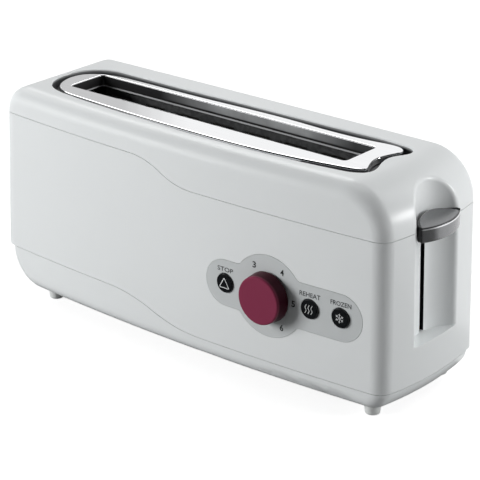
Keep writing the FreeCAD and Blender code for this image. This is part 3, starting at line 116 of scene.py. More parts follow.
# Printed marks
INK = 0.00004
INK_LIFT = 0.00003
DIGIT_RING = 0.0233
SIDE_DIGIT_RING = 0.0211
DIGIT_WEIGHT = 0.02
WORD_WEIGHT = 0.012
DIGIT_HEIGHT = 0.0046
DIGIT_WIDTH = 0.0029
NARROW_DIGIT = 0.5
DIGIT_ANGLES = {"1": -150, "2": -90, "3": -30, "4": 30, "5": 90, "6": 150}
WORD_RISE = 0.0099
WORD_HEIGHT = 0.0033
WORD_WIDTHS = {"stop": 0.0137, "reheat": 0.0168, "frozen": 0.0163}
SYMBOL_LIFT = 0.00001
STOP_STROKE = 0.000525
STOP_CORNERS = ((-0.0042, -0.0033), (0.0042, -0.0033), (0.0, 0.0041))
STOP_RADIUS = 0.0004
HEAT_STROKE = 0.000357
HEAT_SWING = 0.00048
HEAT_HALF = 0.0033
HEAT_PLACES = (-0.0025, 0.0, 0.0025)
FROST_STROKE = 0.000336
FROST_ARM = (0.0003, 0.0035)
BARB_STROKE = 0.000294
BARB_ROOT = (0.0022, 0.0002)
BARB_TIP = (0.0028, 0.0009)

# Camera: its place from the dial and the board, its direction and its lens in millimetres
CAMERA_AHEAD_OF_DIAL = 0.7577
CAMERA_BEFORE_BOARD = 0.9391
CAMERA_HEIGHT = 0.6061
CAMERA_AZIMUTH = math.radians(40.248)
CAMERA_ELEVATION = math.radians(22.466)
CAMERA_ROLL = math.radians(-0.324)
CAMERA_LENS = 145.76
SENSOR = 36.0

# Studio, with directions in degrees: azimuth 0 is before the front face and 90 at the lever's end
FLOOR_SIZE = 12.0
FLOOR_TONE = 0.45
FLOOR_GLOW = 0.8
SKY_LEVEL = 0.01
LIGHT_DISTANCE = 2.4
AIM = Vector((0.0, 0.0, 0.08))

# Cards: distances, edges by azimuth and elevation, and levels from 0 for black to 1 for white
CARD_DISTANCE = 3.2
CARD_LEFT, CARD_RIGHT, CARD_REAR = -108, 136, 252
CARD_TOP = 72
LEFT_REAR_LEVEL = 0.62
FADE_START = -135.0
FADE_STEP = 0.5
FADE_LEVELS = (0.70, 0.78, 0.85, 0.91, 0.96)
STRIP_DISTANCE = 3.1
STRIP_AZIMUTHS = (40, 114)
STRIP_ELEVATIONS = (5, 13)
STRIP_LEVEL = 0.6
REAR_CARD_FOOT = 62
CARD_LIFT = 0.0005
CARD_REACH = 3.0
RIGHT_CARD_BACK = 0.13

# Lamps: name, azimuth, elevation, width, height, watts, and whether glossy surfaces mirror them
LAMPS = (
    ("front_fill", -43, 15, 1.1, 1.1, 51.0, False),
    ("rear_fill", 150, 40, 1.1, 1.1, 16.0, False),
    ("back_fill", 180, 30, 1.1, 1.1, 5.0, False),
    ("right_fill", 109, 22, 0.8, 0.8, 17.5, False),
    ("left_rear_box", -128, 43, 1.1, 1.1, 11.5, True),
    ("front_box", -42, 12, 0.9, 0.9, 5.0, True),
    ("left_box", -95, 40, 0.8, 0.8, 4.0, True),
    ("right_rear_box", 126, 11, 0.45, 0.5, 14.0, True),
)


# Camera, light and floor

def place_camera():
    """Camera whose axes are right, up and back.

    Back points from the object to the camera, right is level, and right and up then turn by the roll.
    """
    sin_a, cos_a = math.sin(CAMERA_AZIMUTH), math.cos(CAMERA_AZIMUTH)
    sin_e, cos_e = math.sin(CAMERA_ELEVATION), math.cos(CAMERA_ELEVATION)
    back = Vector((sin_a * cos_e, -cos_a * cos_e, sin_e))
    level = Vector((cos_a, sin_a, 0.0))
    rise = back.cross(level)
    right = math.cos(CAMERA_ROLL) * level + math.sin(CAMERA_ROLL) * rise
    up = math.cos(CAMERA_ROLL) * rise - math.sin(CAMERA_ROLL) * level
    place = Vector((DIAL_X + CAMERA_AHEAD_OF_DIAL, BOARD_FRONT_Y - CAMERA_BEFORE_BOARD, CAMERA_HEIGHT))
    lens = bpy.data.cameras.new("camera")
    lens.lens = CAMERA_LENS
    lens.sensor_width = SENSOR
    camera = bpy.data.objects.new("camera", lens)
    turn = Matrix((right, up, back)).transposed().to_4x4()
    camera.matrix_world = Matrix.Translation(place) @ turn
    bpy.context.scene.collection.objects.link(camera)
    bpy.context.scene.camera = camera


def direction(azimuth, elevation):
    """Unit vector from the object.

    It is the sine and minus the cosine of the azimuth, both times the cosine of the elevation, and the
    elevation's sine upwards.
    """
    turn, rise = math.radians(azimuth), math.radians(elevation)
    return Vector((math.sin(turn) * math.cos(rise), -math.cos(turn) * math.cos(rise), math.sin(rise)))


def soft_light(name, azimuth, elevation, width, height, power, mirrored):
    """A rectangular softbox that faces the object; one that isn't mirrored only lights it."""
    lamp = bpy.data.lights.new(name, "AREA")
    lamp.shape = "RECTANGLE"
    lamp.size = width
    lamp.size_y = height
    lamp.energy = power
    light = bpy.data.objects.new(name, lamp)
    away = direction(azimuth, elevation)
    light.location = AIM + away * LIGHT_DISTANCE
    light.rotation_euler = (-away).to_track_quat("-Z", "Y").to_euler()
    light.visible_camera = False
    light.visible_glossy = mirrored
    bpy.context.scene.collection.objects.link(light)


def standing_card(name, azimuths, elevations, level=0.0, distance=CARD_DISTANCE, steps=24):
    """A card bent round the object: a patch of a sphere between two azimuths and two elevations.

    On the unit sphere x is the sine and y minus the cosine of the azimuth, both times the cosine of the
    elevation, and z is the elevation's sine.
    """
    turn = np.radians(np.linspace(azimuths[0], azimuths[1], steps))[:, None]
    rise = np.radians(np.linspace(elevations[0], elevations[1], steps))[None, :]
    x = np.sin(turn) * np.cos(rise)
    y = -np.cos(turn) * np.cos(rise)
    z = np.broadcast_to(np.sin(rise), x.shape)
    mirror_card(name, np.stack((x, y, z), axis=2) * distance + np.array(AIM), level)


def floor_card(name, x_range, y_range):
    """A flat black card just above the floor, from corner to corner."""
    x, y = np.meshgrid(x_range, y_range, indexing="ij")
    mirror_card(name, np.stack((x, y, np.full_like(x, CARD_LIFT)), axis=2), 0.0)


def mirror_card(name, grid, level):
    """A studio card that only glossy rays see, on a grid of points: black at level 0 and white at 1."""
    rows, columns = grid.shape[:2]
    start = (np.arange(rows - 1)[:, None] * columns + np.arange(columns - 1)[None, :]).ravel()
    faces = np.column_stack((start, start + 1, start + columns + 1, start + columns))
    mesh = bpy.data.meshes.new(name)
    mesh.from_pydata(grid.reshape(-1, 3).tolist(), [], faces.tolist())
    material = bpy.data.materials.new(name)
    material.use_nodes = True
    nodes = material.node_tree.nodes
    nodes.clear()
    tone = nodes.new("ShaderNodeEmission")
    tone.inputs["Strength"].default_value = level
    out = nodes.new("ShaderNodeOutputMaterial")
    material.node_tree.links.new(tone.outputs[0], out.inputs["Surface"])
    mesh.materials.append(material)
    card = bpy.data.objects.new(name, mesh)
    card.visible_camera = False
    card.visible_diffuse = False
    card.visible_shadow = False
    card.visible_transmission = False
    bpy.context.scene.collection.objects.link(card)


def seen_directly(nodes, links):
    """1 for camera, glossy and transmission rays, and 0 for rays that only carry light.

    The three flags are added and clamped.
    """
    rays = nodes.new("ShaderNodeLightPath")
    first = nodes.new("ShaderNodeMath")
    first.operation = "ADD"
    links.new(rays.outputs["Is Camera Ray"], first.inputs[0])
    links.new(rays.outputs["Is Glossy Ray"], first.inputs[1])
    second = nodes.new("ShaderNodeMath")
    second.operation = "ADD"
    second.use_clamp = True
    links.new(first.outputs[0], second.inputs[0])
    links.new(rays.outputs["Is Transmission Ray"], second.inputs[1])
    return second.outputs[0]


def pale_world():
    """A plain white surround where it is seen, and a plain grey level of light everywhere else."""
    world = bpy.data.worlds.new("studio")
    world.use_nodes = True
    nodes, links = world.node_tree.nodes, world.node_tree.links
    nodes.clear()
    fill = nodes.new("ShaderNodeBackground")
    fill.inputs["Color"].default_value = (0.97, 0.985, 1.0, 1.0)
    fill.inputs["Strength"].default_value = SKY_LEVEL
    seen = nodes.new("ShaderNodeBackground")
    seen.inputs["Color"].default_value = (1.0, 1.0, 1.0, 1.0)
    blend = nodes.new("ShaderNodeMixShader")
    out = nodes.new("ShaderNodeOutputWorld")
    links.new(seen_directly(nodes, links), blend.inputs[0])
    links.new(fill.outputs[0], blend.inputs[1])
    links.new(seen.outputs[0], blend.inputs[2])
    links.new(blend.outputs[0], out.inputs["Surface"])
    bpy.context.scene.world = world


def pale_floor():
    """A level white sheet at the object's feet: it takes light and shadow, and glows where it is seen."""
    half = FLOOR_SIZE / 2
    mesh = bpy.data.meshes.new("floor")
    corners = [(-half, -half, 0), (half, -half, 0), (half, half, 0), (-half, half, 0)]
    mesh.from_pydata(corners, [], [(0, 1, 2, 3)])
    floor = bpy.data.objects.new("floor", mesh)
    bpy.context.scene.collection.objects.link(floor)
    material = bpy.data.materials.new("floor_paper")
    material.use_nodes = True
    nodes, links = material.node_tree.nodes, material.node_tree.links
    nodes.clear()
    paper = nodes.new("ShaderNodeBsdfDiffuse")
    paper.inputs["Color"].default_value = (FLOOR_TONE, FLOOR_TONE, FLOOR_TONE, 1.0)
    glow = nodes.new("ShaderNodeEmission")
    glow.inputs["Color"].default_value = (FLOOR_GLOW, FLOOR_GLOW, FLOOR_GLOW, 1.0)
    links.new(seen_directly(nodes, links), glow.inputs["Strength"])
    both = nodes.new("ShaderNodeAddShader")
    out = nodes.new("ShaderNodeOutputMaterial")
    links.new(paper.outputs[0], both.inputs[0])
    links.new(glow.outputs[0], both.inputs[1])
    links.new(both.outputs[0], out.inputs["Surface"])
    mesh.materials.append(material)


def studio_lights():
    """The lamps, and the cards that show only in glossy surfaces.

    A black card stands round the camera's side, another hangs high at the rear, and two lie on the floor.
    A grey card at the left rear tones the trim and a low grey strip on the right tones the lever. Narrow
    cards that grow paler lead from the grey into the white surround.
    """
    for lamp in LAMPS:
        soft_light(*lamp)
    high = cad_bounds[1]
    standing_card("camera_side_card", (CARD_LEFT, CARD_RIGHT), (0, CARD_TOP))
    standing_card("left_rear_card", (FADE_START, CARD_LEFT), (0, CARD_TOP), LEFT_REAR_LEVEL)
    for step, level in enumerate(FADE_LEVELS):
        edge = FADE_START - FADE_STEP * step
        standing_card("left_rear_fade_%d" % step, (edge - FADE_STEP, edge), (0, CARD_TOP), level)
    standing_card("right_strip_card", STRIP_AZIMUTHS, STRIP_ELEVATIONS, STRIP_LEVEL, STRIP_DISTANCE)
    standing_card("rear_top_card", (CARD_RIGHT, CARD_REAR), (REAR_CARD_FOOT, CARD_TOP))
    floor_card("front_floor_card", (-CARD_REACH, CARD_REACH), (-CARD_REACH, high[1]))
    floor_card("right_floor_card", (high[0], CARD_REACH), (high[1], RIGHT_CARD_BACK))


# Shared effects, each a shader node group

def new_group(name, inputs, outputs):
    """An empty shader group: its tree, its input node and its output node."""
    tree = bpy.data.node_groups.new(name, "ShaderNodeTree")
    for label, kind, value in inputs:
        socket = tree.interface.new_socket(name=label, in_out="INPUT", socket_type="NodeSocket" + kind)
        socket.default_value = value
    for label, kind in outputs:
        tree.interface.new_socket(name=label, in_out="OUTPUT", socket_type="NodeSocket" + kind)
    return tree, tree.nodes.new("NodeGroupInput"), tree.nodes.new("NodeGroupOutput")


def noise(tree, vector, scale, detail):
    """Noise with so many cells a metre; the scale is a number or a socket."""
    node = tree.nodes.new("ShaderNodeTexNoise")
    node.inputs["Detail"].default_value = detail
    tree.links.new(vector, node.inputs["Vector"])
    put(tree, scale, node.inputs["Scale"])
    return node.outputs[0]


def put(tree, value, socket):
    """Links a socket to a socket, or sets a number on it."""
    if isinstance(value, bpy.types.NodeSocket):
        tree.links.new(value, socket)
    else:
        socket.default_value = value


def sums(tree, operation, first, second):
    """One Math node on two sockets or numbers."""
    node = tree.nodes.new("ShaderNodeMath")
    node.operation = operation
    put(tree, first, node.inputs[0])
    put(tree, second, node.inputs[1])
    return node.outputs[0]


def ranged(tree, value, low, high, to_low, to_high):
    """Map Range from low..high to to_low..to_high, clamped."""
    node = tree.nodes.new("ShaderNodeMapRange")
    for socket, number in zip(node.inputs[:5], (value, low, high, to_low, to_high)):
        put(tree, number, socket)
    return node.outputs[0]


def mixed(tree, factor, first, second):
    """Colour mix of two colours by a mask."""
    node = tree.nodes.new("ShaderNodeMix")
    node.data_type = "RGBA"
    put(tree, factor, node.inputs[0])
    put(tree, first, node.inputs[6])
    put(tree, second, node.inputs[7])
    return node.outputs[2]


def tone_group():
    """Cloudy colour: noise, its middle range mapped to 0..1, mixes two colours and two roughnesses."""
    grey = (0.5, 0.5, 0.5, 1.0)
    inputs = [("Vector", "Vector", (0, 0, 0)), ("Scale", "Float", 20.0), ("Colour A", "Color", grey),
              ("Colour B", "Color", grey), ("Rough low", "Float", 0.3), ("Rough high", "Float", 0.4)]
    tree, start, end = new_group("cloudy_tone", inputs, [("Colour", "Color"), ("Roughness", "Float")])
    cloud = noise(tree, start.outputs["Vector"], start.outputs["Scale"], 3.0)
    mask = ranged(tree, cloud, 0.2, 0.8, 0.0, 1.0)
    colour = mixed(tree, mask, start.outputs["Colour A"], start.outputs["Colour B"])
    tree.links.new(colour, end.inputs["Colour"])
    rough = ranged(tree, mask, 0.0, 1.0, start.outputs["Rough low"], start.outputs["Rough high"])
    tree.links.new(rough, end.inputs["Roughness"])
    return tree


def grain_group():
    """Moulded skin: fine noise for the mould's grain plus slow waves left by cooling, each with its share."""
    inputs = [("Vector", "Vector", (0, 0, 0)), ("Grain scale", "Float", 2200.0),
              ("Grain share", "Float", 0.3), ("Wave scale", "Float", 22.0), ("Wave share", "Float", 1.0)]
    tree, start, end = new_group("moulded_grain", inputs, [("Height", "Float")])
    fine = noise(tree, start.outputs["Vector"], start.outputs["Grain scale"], 1.0)
    slow = noise(tree, start.outputs["Vector"], start.outputs["Wave scale"], 0.0)
    grain = sums(tree, "MULTIPLY", fine, start.outputs["Grain share"])
    wave = sums(tree, "MULTIPLY", slow, start.outputs["Wave share"])
    tree.links.new(sums(tree, "ADD", grain, wave), end.inputs["Height"])
    return tree


def brush_group():
    """Drawn or brushed metal: noise on coordinates squeezed along one direction gives long fine lines."""
    inputs = [("Vector", "Vector", (0, 0, 0)), ("Squeeze", "Vector", (0.02, 1.0, 1.0)),
              ("Line scale", "Float", 3000.0), ("Dark", "Color", (0.4, 0.4, 0.4, 1.0)),
              ("Light", "Color", (0.6, 0.6, 0.6, 1.0)), ("Rough low", "Float", 0.25),
              ("Rough high", "Float", 0.4)]
    outputs = [("Colour", "Color"), ("Roughness", "Float"), ("Height", "Float")]
    tree, start, end = new_group("brushed_lines", inputs, outputs)
    squeeze = tree.nodes.new("ShaderNodeVectorMath")
    squeeze.operation = "MULTIPLY"
    tree.links.new(start.outputs["Vector"], squeeze.inputs[0])
    tree.links.new(start.outputs["Squeeze"], squeeze.inputs[1])
    lines = noise(tree, squeeze.outputs[0], start.outputs["Line scale"], 2.0)
    mask = ranged(tree, lines, 0.3, 0.7, 0.0, 1.0)
    tree.links.new(mixed(tree, mask, start.outputs["Dark"], start.outputs["Light"]), end.inputs["Colour"])
    rough = ranged(tree, mask, 0.0, 1.0, start.outputs["Rough high"], start.outputs["Rough low"])
    tree.links.new(rough, end.inputs["Roughness"])
    tree.links.new(mask, end.inputs["Height"])
    return tree


def flake_group():
    """Flakes or zinc spangle: every cell round a scattered point has its own random shade of two colours."""
    inputs = [("Vector", "Vector", (0, 0, 0)), ("Cell scale", "Float", 3000.0),
              ("Dark", "Color", (0.4, 0.4, 0.4, 1.0)), ("Light", "Color", (0.6, 0.6, 0.6, 1.0)),
              ("Rough low", "Float", 0.3), ("Rough high", "Float", 0.45)]
    outputs = [("Colour", "Color"), ("Roughness", "Float"), ("Height", "Float")]
    tree, start, end = new_group("flakes", inputs, outputs)
    cells = tree.nodes.new("ShaderNodeTexVoronoi")
    tree.links.new(start.outputs["Vector"], cells.inputs["Vector"])
    tree.links.new(start.outputs["Cell scale"], cells.inputs["Scale"])
    channels = tree.nodes.new("ShaderNodeSeparateColor")
    tree.links.new(cells.outputs["Color"], channels.inputs[0])
    mask = channels.outputs[0]
    tree.links.new(mixed(tree, mask, start.outputs["Dark"], start.outputs["Light"]), end.inputs["Colour"])
    rough = ranged(tree, mask, 0.0, 1.0, start.outputs["Rough low"], start.outputs["Rough high"])
    tree.links.new(rough, end.inputs["Roughness"])
    tree.links.new(cells.outputs["Distance"], end.inputs["Height"])
    return tree


def span_group():
    """A soft step along one axis: 0 below From and 1 above To, on the dot product with Axis."""
    inputs = [("Vector", "Vector", (0, 0, 0)), ("Axis", "Vector", (0, 0, 1)), ("From", "Float", 0.0),
              ("To", "Float", 1.0), ("Before", "Color", (0, 0, 0, 1)), ("After", "Color", (1, 1, 1, 1))]
    tree, start, end = new_group("soft_step", inputs, [("Colour", "Color"), ("Mask", "Float")])
    dot = tree.nodes.new("ShaderNodeVectorMath")
    dot.operation = "DOT_PRODUCT"
    tree.links.new(start.outputs["Vector"], dot.inputs[0])
    tree.links.new(start.outputs["Axis"], dot.inputs[1])
    mask = ranged(tree, dot.outputs["Value"], start.outputs["From"], start.outputs["To"], 0.0, 1.0)
    colour = mixed(tree, mask, start.outputs["Before"], start.outputs["After"])
    tree.links.new(colour, end.inputs["Colour"])
    tree.links.new(mask, end.inputs["Mask"])
    return tree


TONE = tone_group()
GRAIN = grain_group()
BRUSH = brush_group()
FLAKES = flake_group()
STEP = span_group()


# Finishes

class Finish:
    """A material, its Principled shader and the Object coordinates that its patterns read."""

    def __init__(self, name, metallic=0.0, **plain):
        self.material = bpy.data.materials.new(name)
        self.material.use_nodes = True
        self.tree = self.material.node_tree
        self.tree.nodes.clear()
        out = self.tree.nodes.new("ShaderNodeOutputMaterial")
        self.shader = self.tree.nodes.new("ShaderNodeBsdfPrincipled")
        self.tree.links.new(self.shader.outputs[0], out.inputs["Surface"])
        self.place = self.tree.nodes.new("ShaderNodeTexCoord").outputs["Object"]
        self.shader.inputs["Metallic"].default_value = metallic
        for label, value in plain.items():
            self.shader.inputs[label.replace("_", " ")].default_value = value

    def effect(self, group, **values):
        """The shared group with this material's values; an underscore in a name stands for a space."""
        node = self.tree.nodes.new("ShaderNodeGroup")
        node.node_tree = group
        self.tree.links.new(self.place, node.inputs["Vector"])
        for label, value in values.items():
            put(self.tree, value, node.inputs[label.replace("_", " ")])
        return node.outputs

    def wire(self, socket, label):
        """Feeds one of the shader's own sockets."""
        self.tree.links.new(socket, self.shader.inputs[label])

    def bump(self, height, distance):
        """Surface relief of so many metres from a height."""
        node = self.tree.nodes.new("ShaderNodeBump")
        node.inputs["Strength"].default_value = 1.0
        node.inputs["Distance"].default_value = distance
        self.tree.links.new(height, node.inputs["Height"])
        self.wire(node.outputs[0], "Normal")


def shade(red, green, blue):
    """A colour as a shader socket takes it."""
    return (red, green, blue, 1.0)


def moulded(name, light, dark, rough, relief, grain_scale=2200.0, grain_share=0.3, wave_share=1.0):
    """Moulded plastic or rubber: cloudy tone, patchy gloss, and a skin of grain and cooling waves."""
    finish = Finish(name)
    tone = finish.effect(TONE, Scale=14.0, Colour_A=light, Colour_B=dark,
                         Rough_low=rough[0], Rough_high=rough[1])
    finish.wire(tone["Colour"], "Base Color")
    finish.wire(tone["Roughness"], "Roughness")
    grain = finish.effect(GRAIN, Grain_scale=grain_scale, Grain_share=grain_share, Wave_share=wave_share)
    finish.bump(grain["Height"], relief)
    return finish.material


def metal_lines(name, light, dark, rough, squeeze, relief=0.000004, line_scale=3000.0):
    """Rolled, drawn or brushed metal with lines along the direction that squeeze makes small."""
    finish = Finish(name, metallic=1.0)
    lines = finish.effect(BRUSH, Squeeze=squeeze, Line_scale=line_scale, Dark=dark, Light=light,
                          Rough_low=rough[0], Rough_high=rough[1])
    finish.wire(lines["Colour"], "Base Color")
    finish.wire(lines["Roughness"], "Roughness")
    finish.bump(lines["Height"], relief)
    return finish.material


def within(finish, *spans):
    """Mask of a box of space: the product of one band for each axis with its low and high edge.

    A band is the soft step at its low edge less the soft step at its high edge.
    """
    inside = None
    for axis, low, high in spans:
        enter = finish.effect(STEP, Axis=axis, From=low - SOFT_EDGE, To=low)
        leave = finish.effect(STEP, Axis=axis, From=high, To=high + SOFT_EDGE)
        band = sums(finish.tree, "SUBTRACT", enter["Mask"], leave["Mask"])
        inside = band if inside is None else sums(finish.tree, "MULTIPLY", inside, band)
    return inside


def housing_plastic():
    """White gloss plastic with a faint moulded skin.

    The walls of the lever's slot are painted black as painted shade, and the wall of the well round the trim
    is dark painted shade that pales upwards.
    """
    finish = Finish("housing_plastic")
    tone = finish.effect(TONE, Scale=9.0, Colour_A=shade(0.80, 0.825, 0.83),
                         Colour_B=shade(0.793, 0.818, 0.823), Rough_low=0.28, Rough_high=0.30)
    # Painted shade: the walls of the lever's slot are coloured near black
    slot = within(finish, (ALONG_Y, SLOT_MIDDLE_Y - LEVER_SLOT_HALF, SLOT_MIDDLE_Y + LEVER_SLOT_HALF),
                  (ALONG_X, *LEVER_SLOT_X), (ALONG_Z, *LEVER_SLOT_Z))
    # Painted shade: the well's wall round the trim is coloured dark, paling upwards to a lighter grey
    well = within(finish, (ALONG_Y, TRIM_LOW[1] + WELL_FRONT, TRIM_HIGH[1] + WELL_REACH),
                  (ALONG_X, TRIM_LOW[0] - WELL_REACH, TRIM_HIGH[0] + WELL_REACH),
                  (ALONG_Z, BELOW_TRIM, TRIM_HIGH[2] + WELL_EDGE))
    wall = finish.effect(STEP, Axis=ALONG_Z, From=TRIM_HIGH[2] - WELL_SHADE, To=TRIM_HIGH[2] + WELL_EDGE,
                         Before=shade(0.08, 0.083, 0.086), After=shade(0.36, 0.37, 0.375))
    colour = mixed(finish.tree, slot, tone["Colour"], shade(0.012, 0.012, 0.013))
    finish.wire(mixed(finish.tree, well, colour, wall["Colour"]), "Base Color")
    finish.wire(tone["Roughness"], "Roughness")
    grain = finish.effect(GRAIN, Grain_scale=2200.0, Grain_share=0.12, Wave_share=1.0)
    finish.bump(grain["Height"], 0.00005)
    return finish.material


def lip_colour(finish):
    """The slot's lip from below: a bright rolled edge, a dark line, and dull mottled grey.

    The bright band along the rolled edge is a painted highlight and the dark line above it is painted shade.
    Painted shade darkens the grey at the lip's left end and towards its right end.
    """
    foot = TRIM_LOW[2]
    left, right = LIP_X
    # Painted highlight: a bright band along the rolled edge at the lip's foot, then a line of painted shade
    # above it
    edge = finish.effect(STEP, Axis=ALONG_Z, From=foot + FOOT_LINE[0], To=foot + FOOT_LINE[1],
                         Before=shade(0.62, 0.63, 0.64), After=shade(0.02, 0.02, 0.02))
    mottle = finish.effect(TONE, Scale=70.0, Colour_A=shade(0.42, 0.43, 0.435),
                           Colour_B=shade(0.24, 0.245, 0.25))
    # Painted shade: the lip's grey darkens at its left end and towards its right end
    left_end = finish.effect(STEP, Axis=ALONG_X, From=left + LIP_LEFT_FADE[0], To=left + LIP_LEFT_FADE[1],
                             Before=shade(0.02, 0.02, 0.021), After=mottle["Colour"])
    dull = finish.effect(STEP, Axis=ALONG_X, From=right - LIP_RIGHT_FADE[0], To=right - LIP_RIGHT_FADE[1],
                         Before=left_end["Colour"], After=shade(0.06, 0.062, 0.064))
    lip = finish.effect(STEP, Axis=ALONG_Z, From=foot + LIP_LINE[0], To=foot + LIP_LINE[1],
                        Before=edge["Colour"], After=dull["Colour"])
    return lip["Colour"]


def trim_chrome():
    """Polished chrome with faint lines and a dark line round its outer rim.

    The dark line round the outer rim is a painted dark reflection. The slot's lip inside it is not chromed,
    and the flange down in the well is painted near black and not metallic, as painted shade.
    """
    finish = Finish("polished_chrome")
    tree = finish.tree
    lines = finish.effect(BRUSH, Squeeze=(0.02, 1.0, 1.0), Line_scale=1500.0, Dark=shade(0.86, 0.868, 0.88),
                          Light=shade(0.90, 0.905, 0.915), Rough_low=0.035, Rough_high=0.08)
    lip = lip_colour(finish)
    plan = within(finish, (ALONG_Y, SLOT_MIDDLE_Y - LIP_HALF, SLOT_MIDDLE_Y + LIP_HALF), (ALONG_X, *LIP_X))
    inner = sums(tree, "MULTIPLY", plan, within(finish, (ALONG_Z, BELOW_TRIM, LIP_TOP)))
    # Painted dark reflection: a dark line round the outer rim, just below the trim's top
    rim = within(finish, (ALONG_Z, TRIM_HIGH[2] - TRIM_RIM[0], TRIM_HIGH[2] - TRIM_RIM[1]))
    outer_rim_painted_dark = sums(tree, "MULTIPLY", rim, sums(tree, "SUBTRACT", 1.0, plan))
    # Painted shade: the flange down in the well is coloured near black and made not metallic
    flange = within(finish, (ALONG_Z, BELOW_TRIM, FLANGE_TOP))
    colour = mixed(tree, outer_rim_painted_dark, lines["Colour"], shade(0.09, 0.092, 0.095))
    colour = mixed(tree, flange, colour, shade(0.03, 0.03, 0.032))
    finish.wire(mixed(tree, inner, colour, lip), "Base Color")
    lip_and_shaded_flange = sums(tree, "MAXIMUM", inner, flange)
    finish.wire(sums(tree, "SUBTRACT", 1.0, lip_and_shaded_flange), "Metallic")
    matt_roughness = ranged(tree, lip_and_shaded_flange, 0.0, 1.0, 0.0, 0.4)
    finish.wire(sums(tree, "MAXIMUM", lines["Roughness"], matt_roughness), "Roughness")
    finish.bump(lines["Height"], 0.0000008)
    return finish.material


def knob_plastic():
    """Burgundy plastic: a finely grained face, and a side behind it darkened as painted shade."""
    finish = Finish("knob_plastic", Specular_IOR_Level=0.12)
    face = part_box("browning_knob")[0][1]
    # Painted shade: the side behind the face is coloured far darker than the face
    step = finish.effect(STEP, Axis=ALONG_Y, From=face + KNOB_FACE_EDGE[0], To=face + KNOB_FACE_EDGE[1],
                         Before=shade(0.222, 0.036, 0.075), After=shade(0.06, 0.005, 0.016))
    finish.wire(step["Colour"], "Base Color")
    tone = finish.effect(TONE, Scale=60.0, Rough_low=0.3, Rough_high=0.42)
    finish.wire(tone["Roughness"], "Roughness")
    grain = finish.effect(GRAIN, Grain_scale=3800.0, Grain_share=0.8, Wave_share=0.0)
    finish.bump(grain["Height"], 0.00003)
    return finish.material


def lever_paint():
    """Silver paint, with a painted shade line and a painted highlight along the front rim."""
    finish = Finish("lever_paint", metallic=0.6)
    cells = finish.effect(FLAKES, Cell_scale=5200.0, Dark=shade(0.21, 0.214, 0.22),
                          Light=shade(0.29, 0.294, 0.30), Rough_low=0.2, Rough_high=0.26)
    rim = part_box("lever_handle")[1][2] - LEVER_RIM_DROP
    # Painted highlight and painted shade: a bright line just below the rim and a dark line at the rim itself
    rim_painted_highlight = within(finish, (ALONG_Z, rim - LEVER_PAINTED_HIGHLIGHT[0], rim - LEVER_PAINTED_HIGHLIGHT[1]))
    rim_painted_shade = within(finish, (ALONG_Z, rim - LEVER_PAINTED_SHADE, rim))
    colour = mixed(finish.tree, rim_painted_highlight, cells["Colour"], shade(0.92, 0.93, 0.94))
    finish.wire(mixed(finish.tree, rim_painted_shade, colour, shade(0.05, 0.051, 0.053)), "Base Color")
    finish.wire(cells["Roughness"], "Roughness")
    finish.bump(cells["Height"], 0.000006)
    return finish.material


def board_laminate():
    """Green laminate: brushed lines cross it as thin tracks in a lighter green."""
    finish = Finish("board_laminate")
    lines = finish.effect(BRUSH, Squeeze=(0.05, 1.0, 1.0), Line_scale=700.0, Dark=shade(0.012, 0.085, 0.03),
                          Light=shade(0.03, 0.16, 0.055), Rough_low=0.28, Rough_high=0.4)
    finish.wire(lines["Colour"], "Base Color")
    finish.wire(lines["Roughness"], "Roughness")
    finish.bump(lines["Height"], 0.00001)
    return finish.material


def shield_steel():
    """Galvanised sheet, every spangle in its own shade, darkened towards the top as painted shade."""
    finish = Finish("shield_steel", metallic=1.0)
    cells = finish.effect(FLAKES, Cell_scale=160.0, Dark=shade(0.5, 0.51, 0.52),
                          Light=shade(0.62, 0.63, 0.64), Rough_low=0.28, Rough_high=0.42)
    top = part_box("heat_shield_front")[1][2]
    # Painted shade: the sheet darkens to near black towards its top
    top_painted_shade = finish.effect(STEP, Axis=ALONG_Z, From=top - SHIELD_DARK[0], To=top - SHIELD_DARK[1],
                         Before=cells["Colour"], After=shade(0.05, 0.05, 0.052))
    finish.wire(top_painted_shade["Colour"], "Base Color")
    finish.wire(cells["Roughness"], "Roughness")
    finish.bump(cells["Height"], 0.00001)
    return finish.material


def mica():
    """Mica card: a random grey for each small cell."""
    finish = Finish("mica")
    cells = finish.effect(FLAKES, Cell_scale=420.0, Dark=shade(0.09, 0.092, 0.094),
                          Light=shade(0.15, 0.153, 0.155), Rough_low=0.3, Rough_high=0.6)
    finish.wire(cells["Colour"], "Base Color")
    finish.wire(cells["Roughness"], "Roughness")
    finish.bump(cells["Height"], 0.00002)
    return finish.material


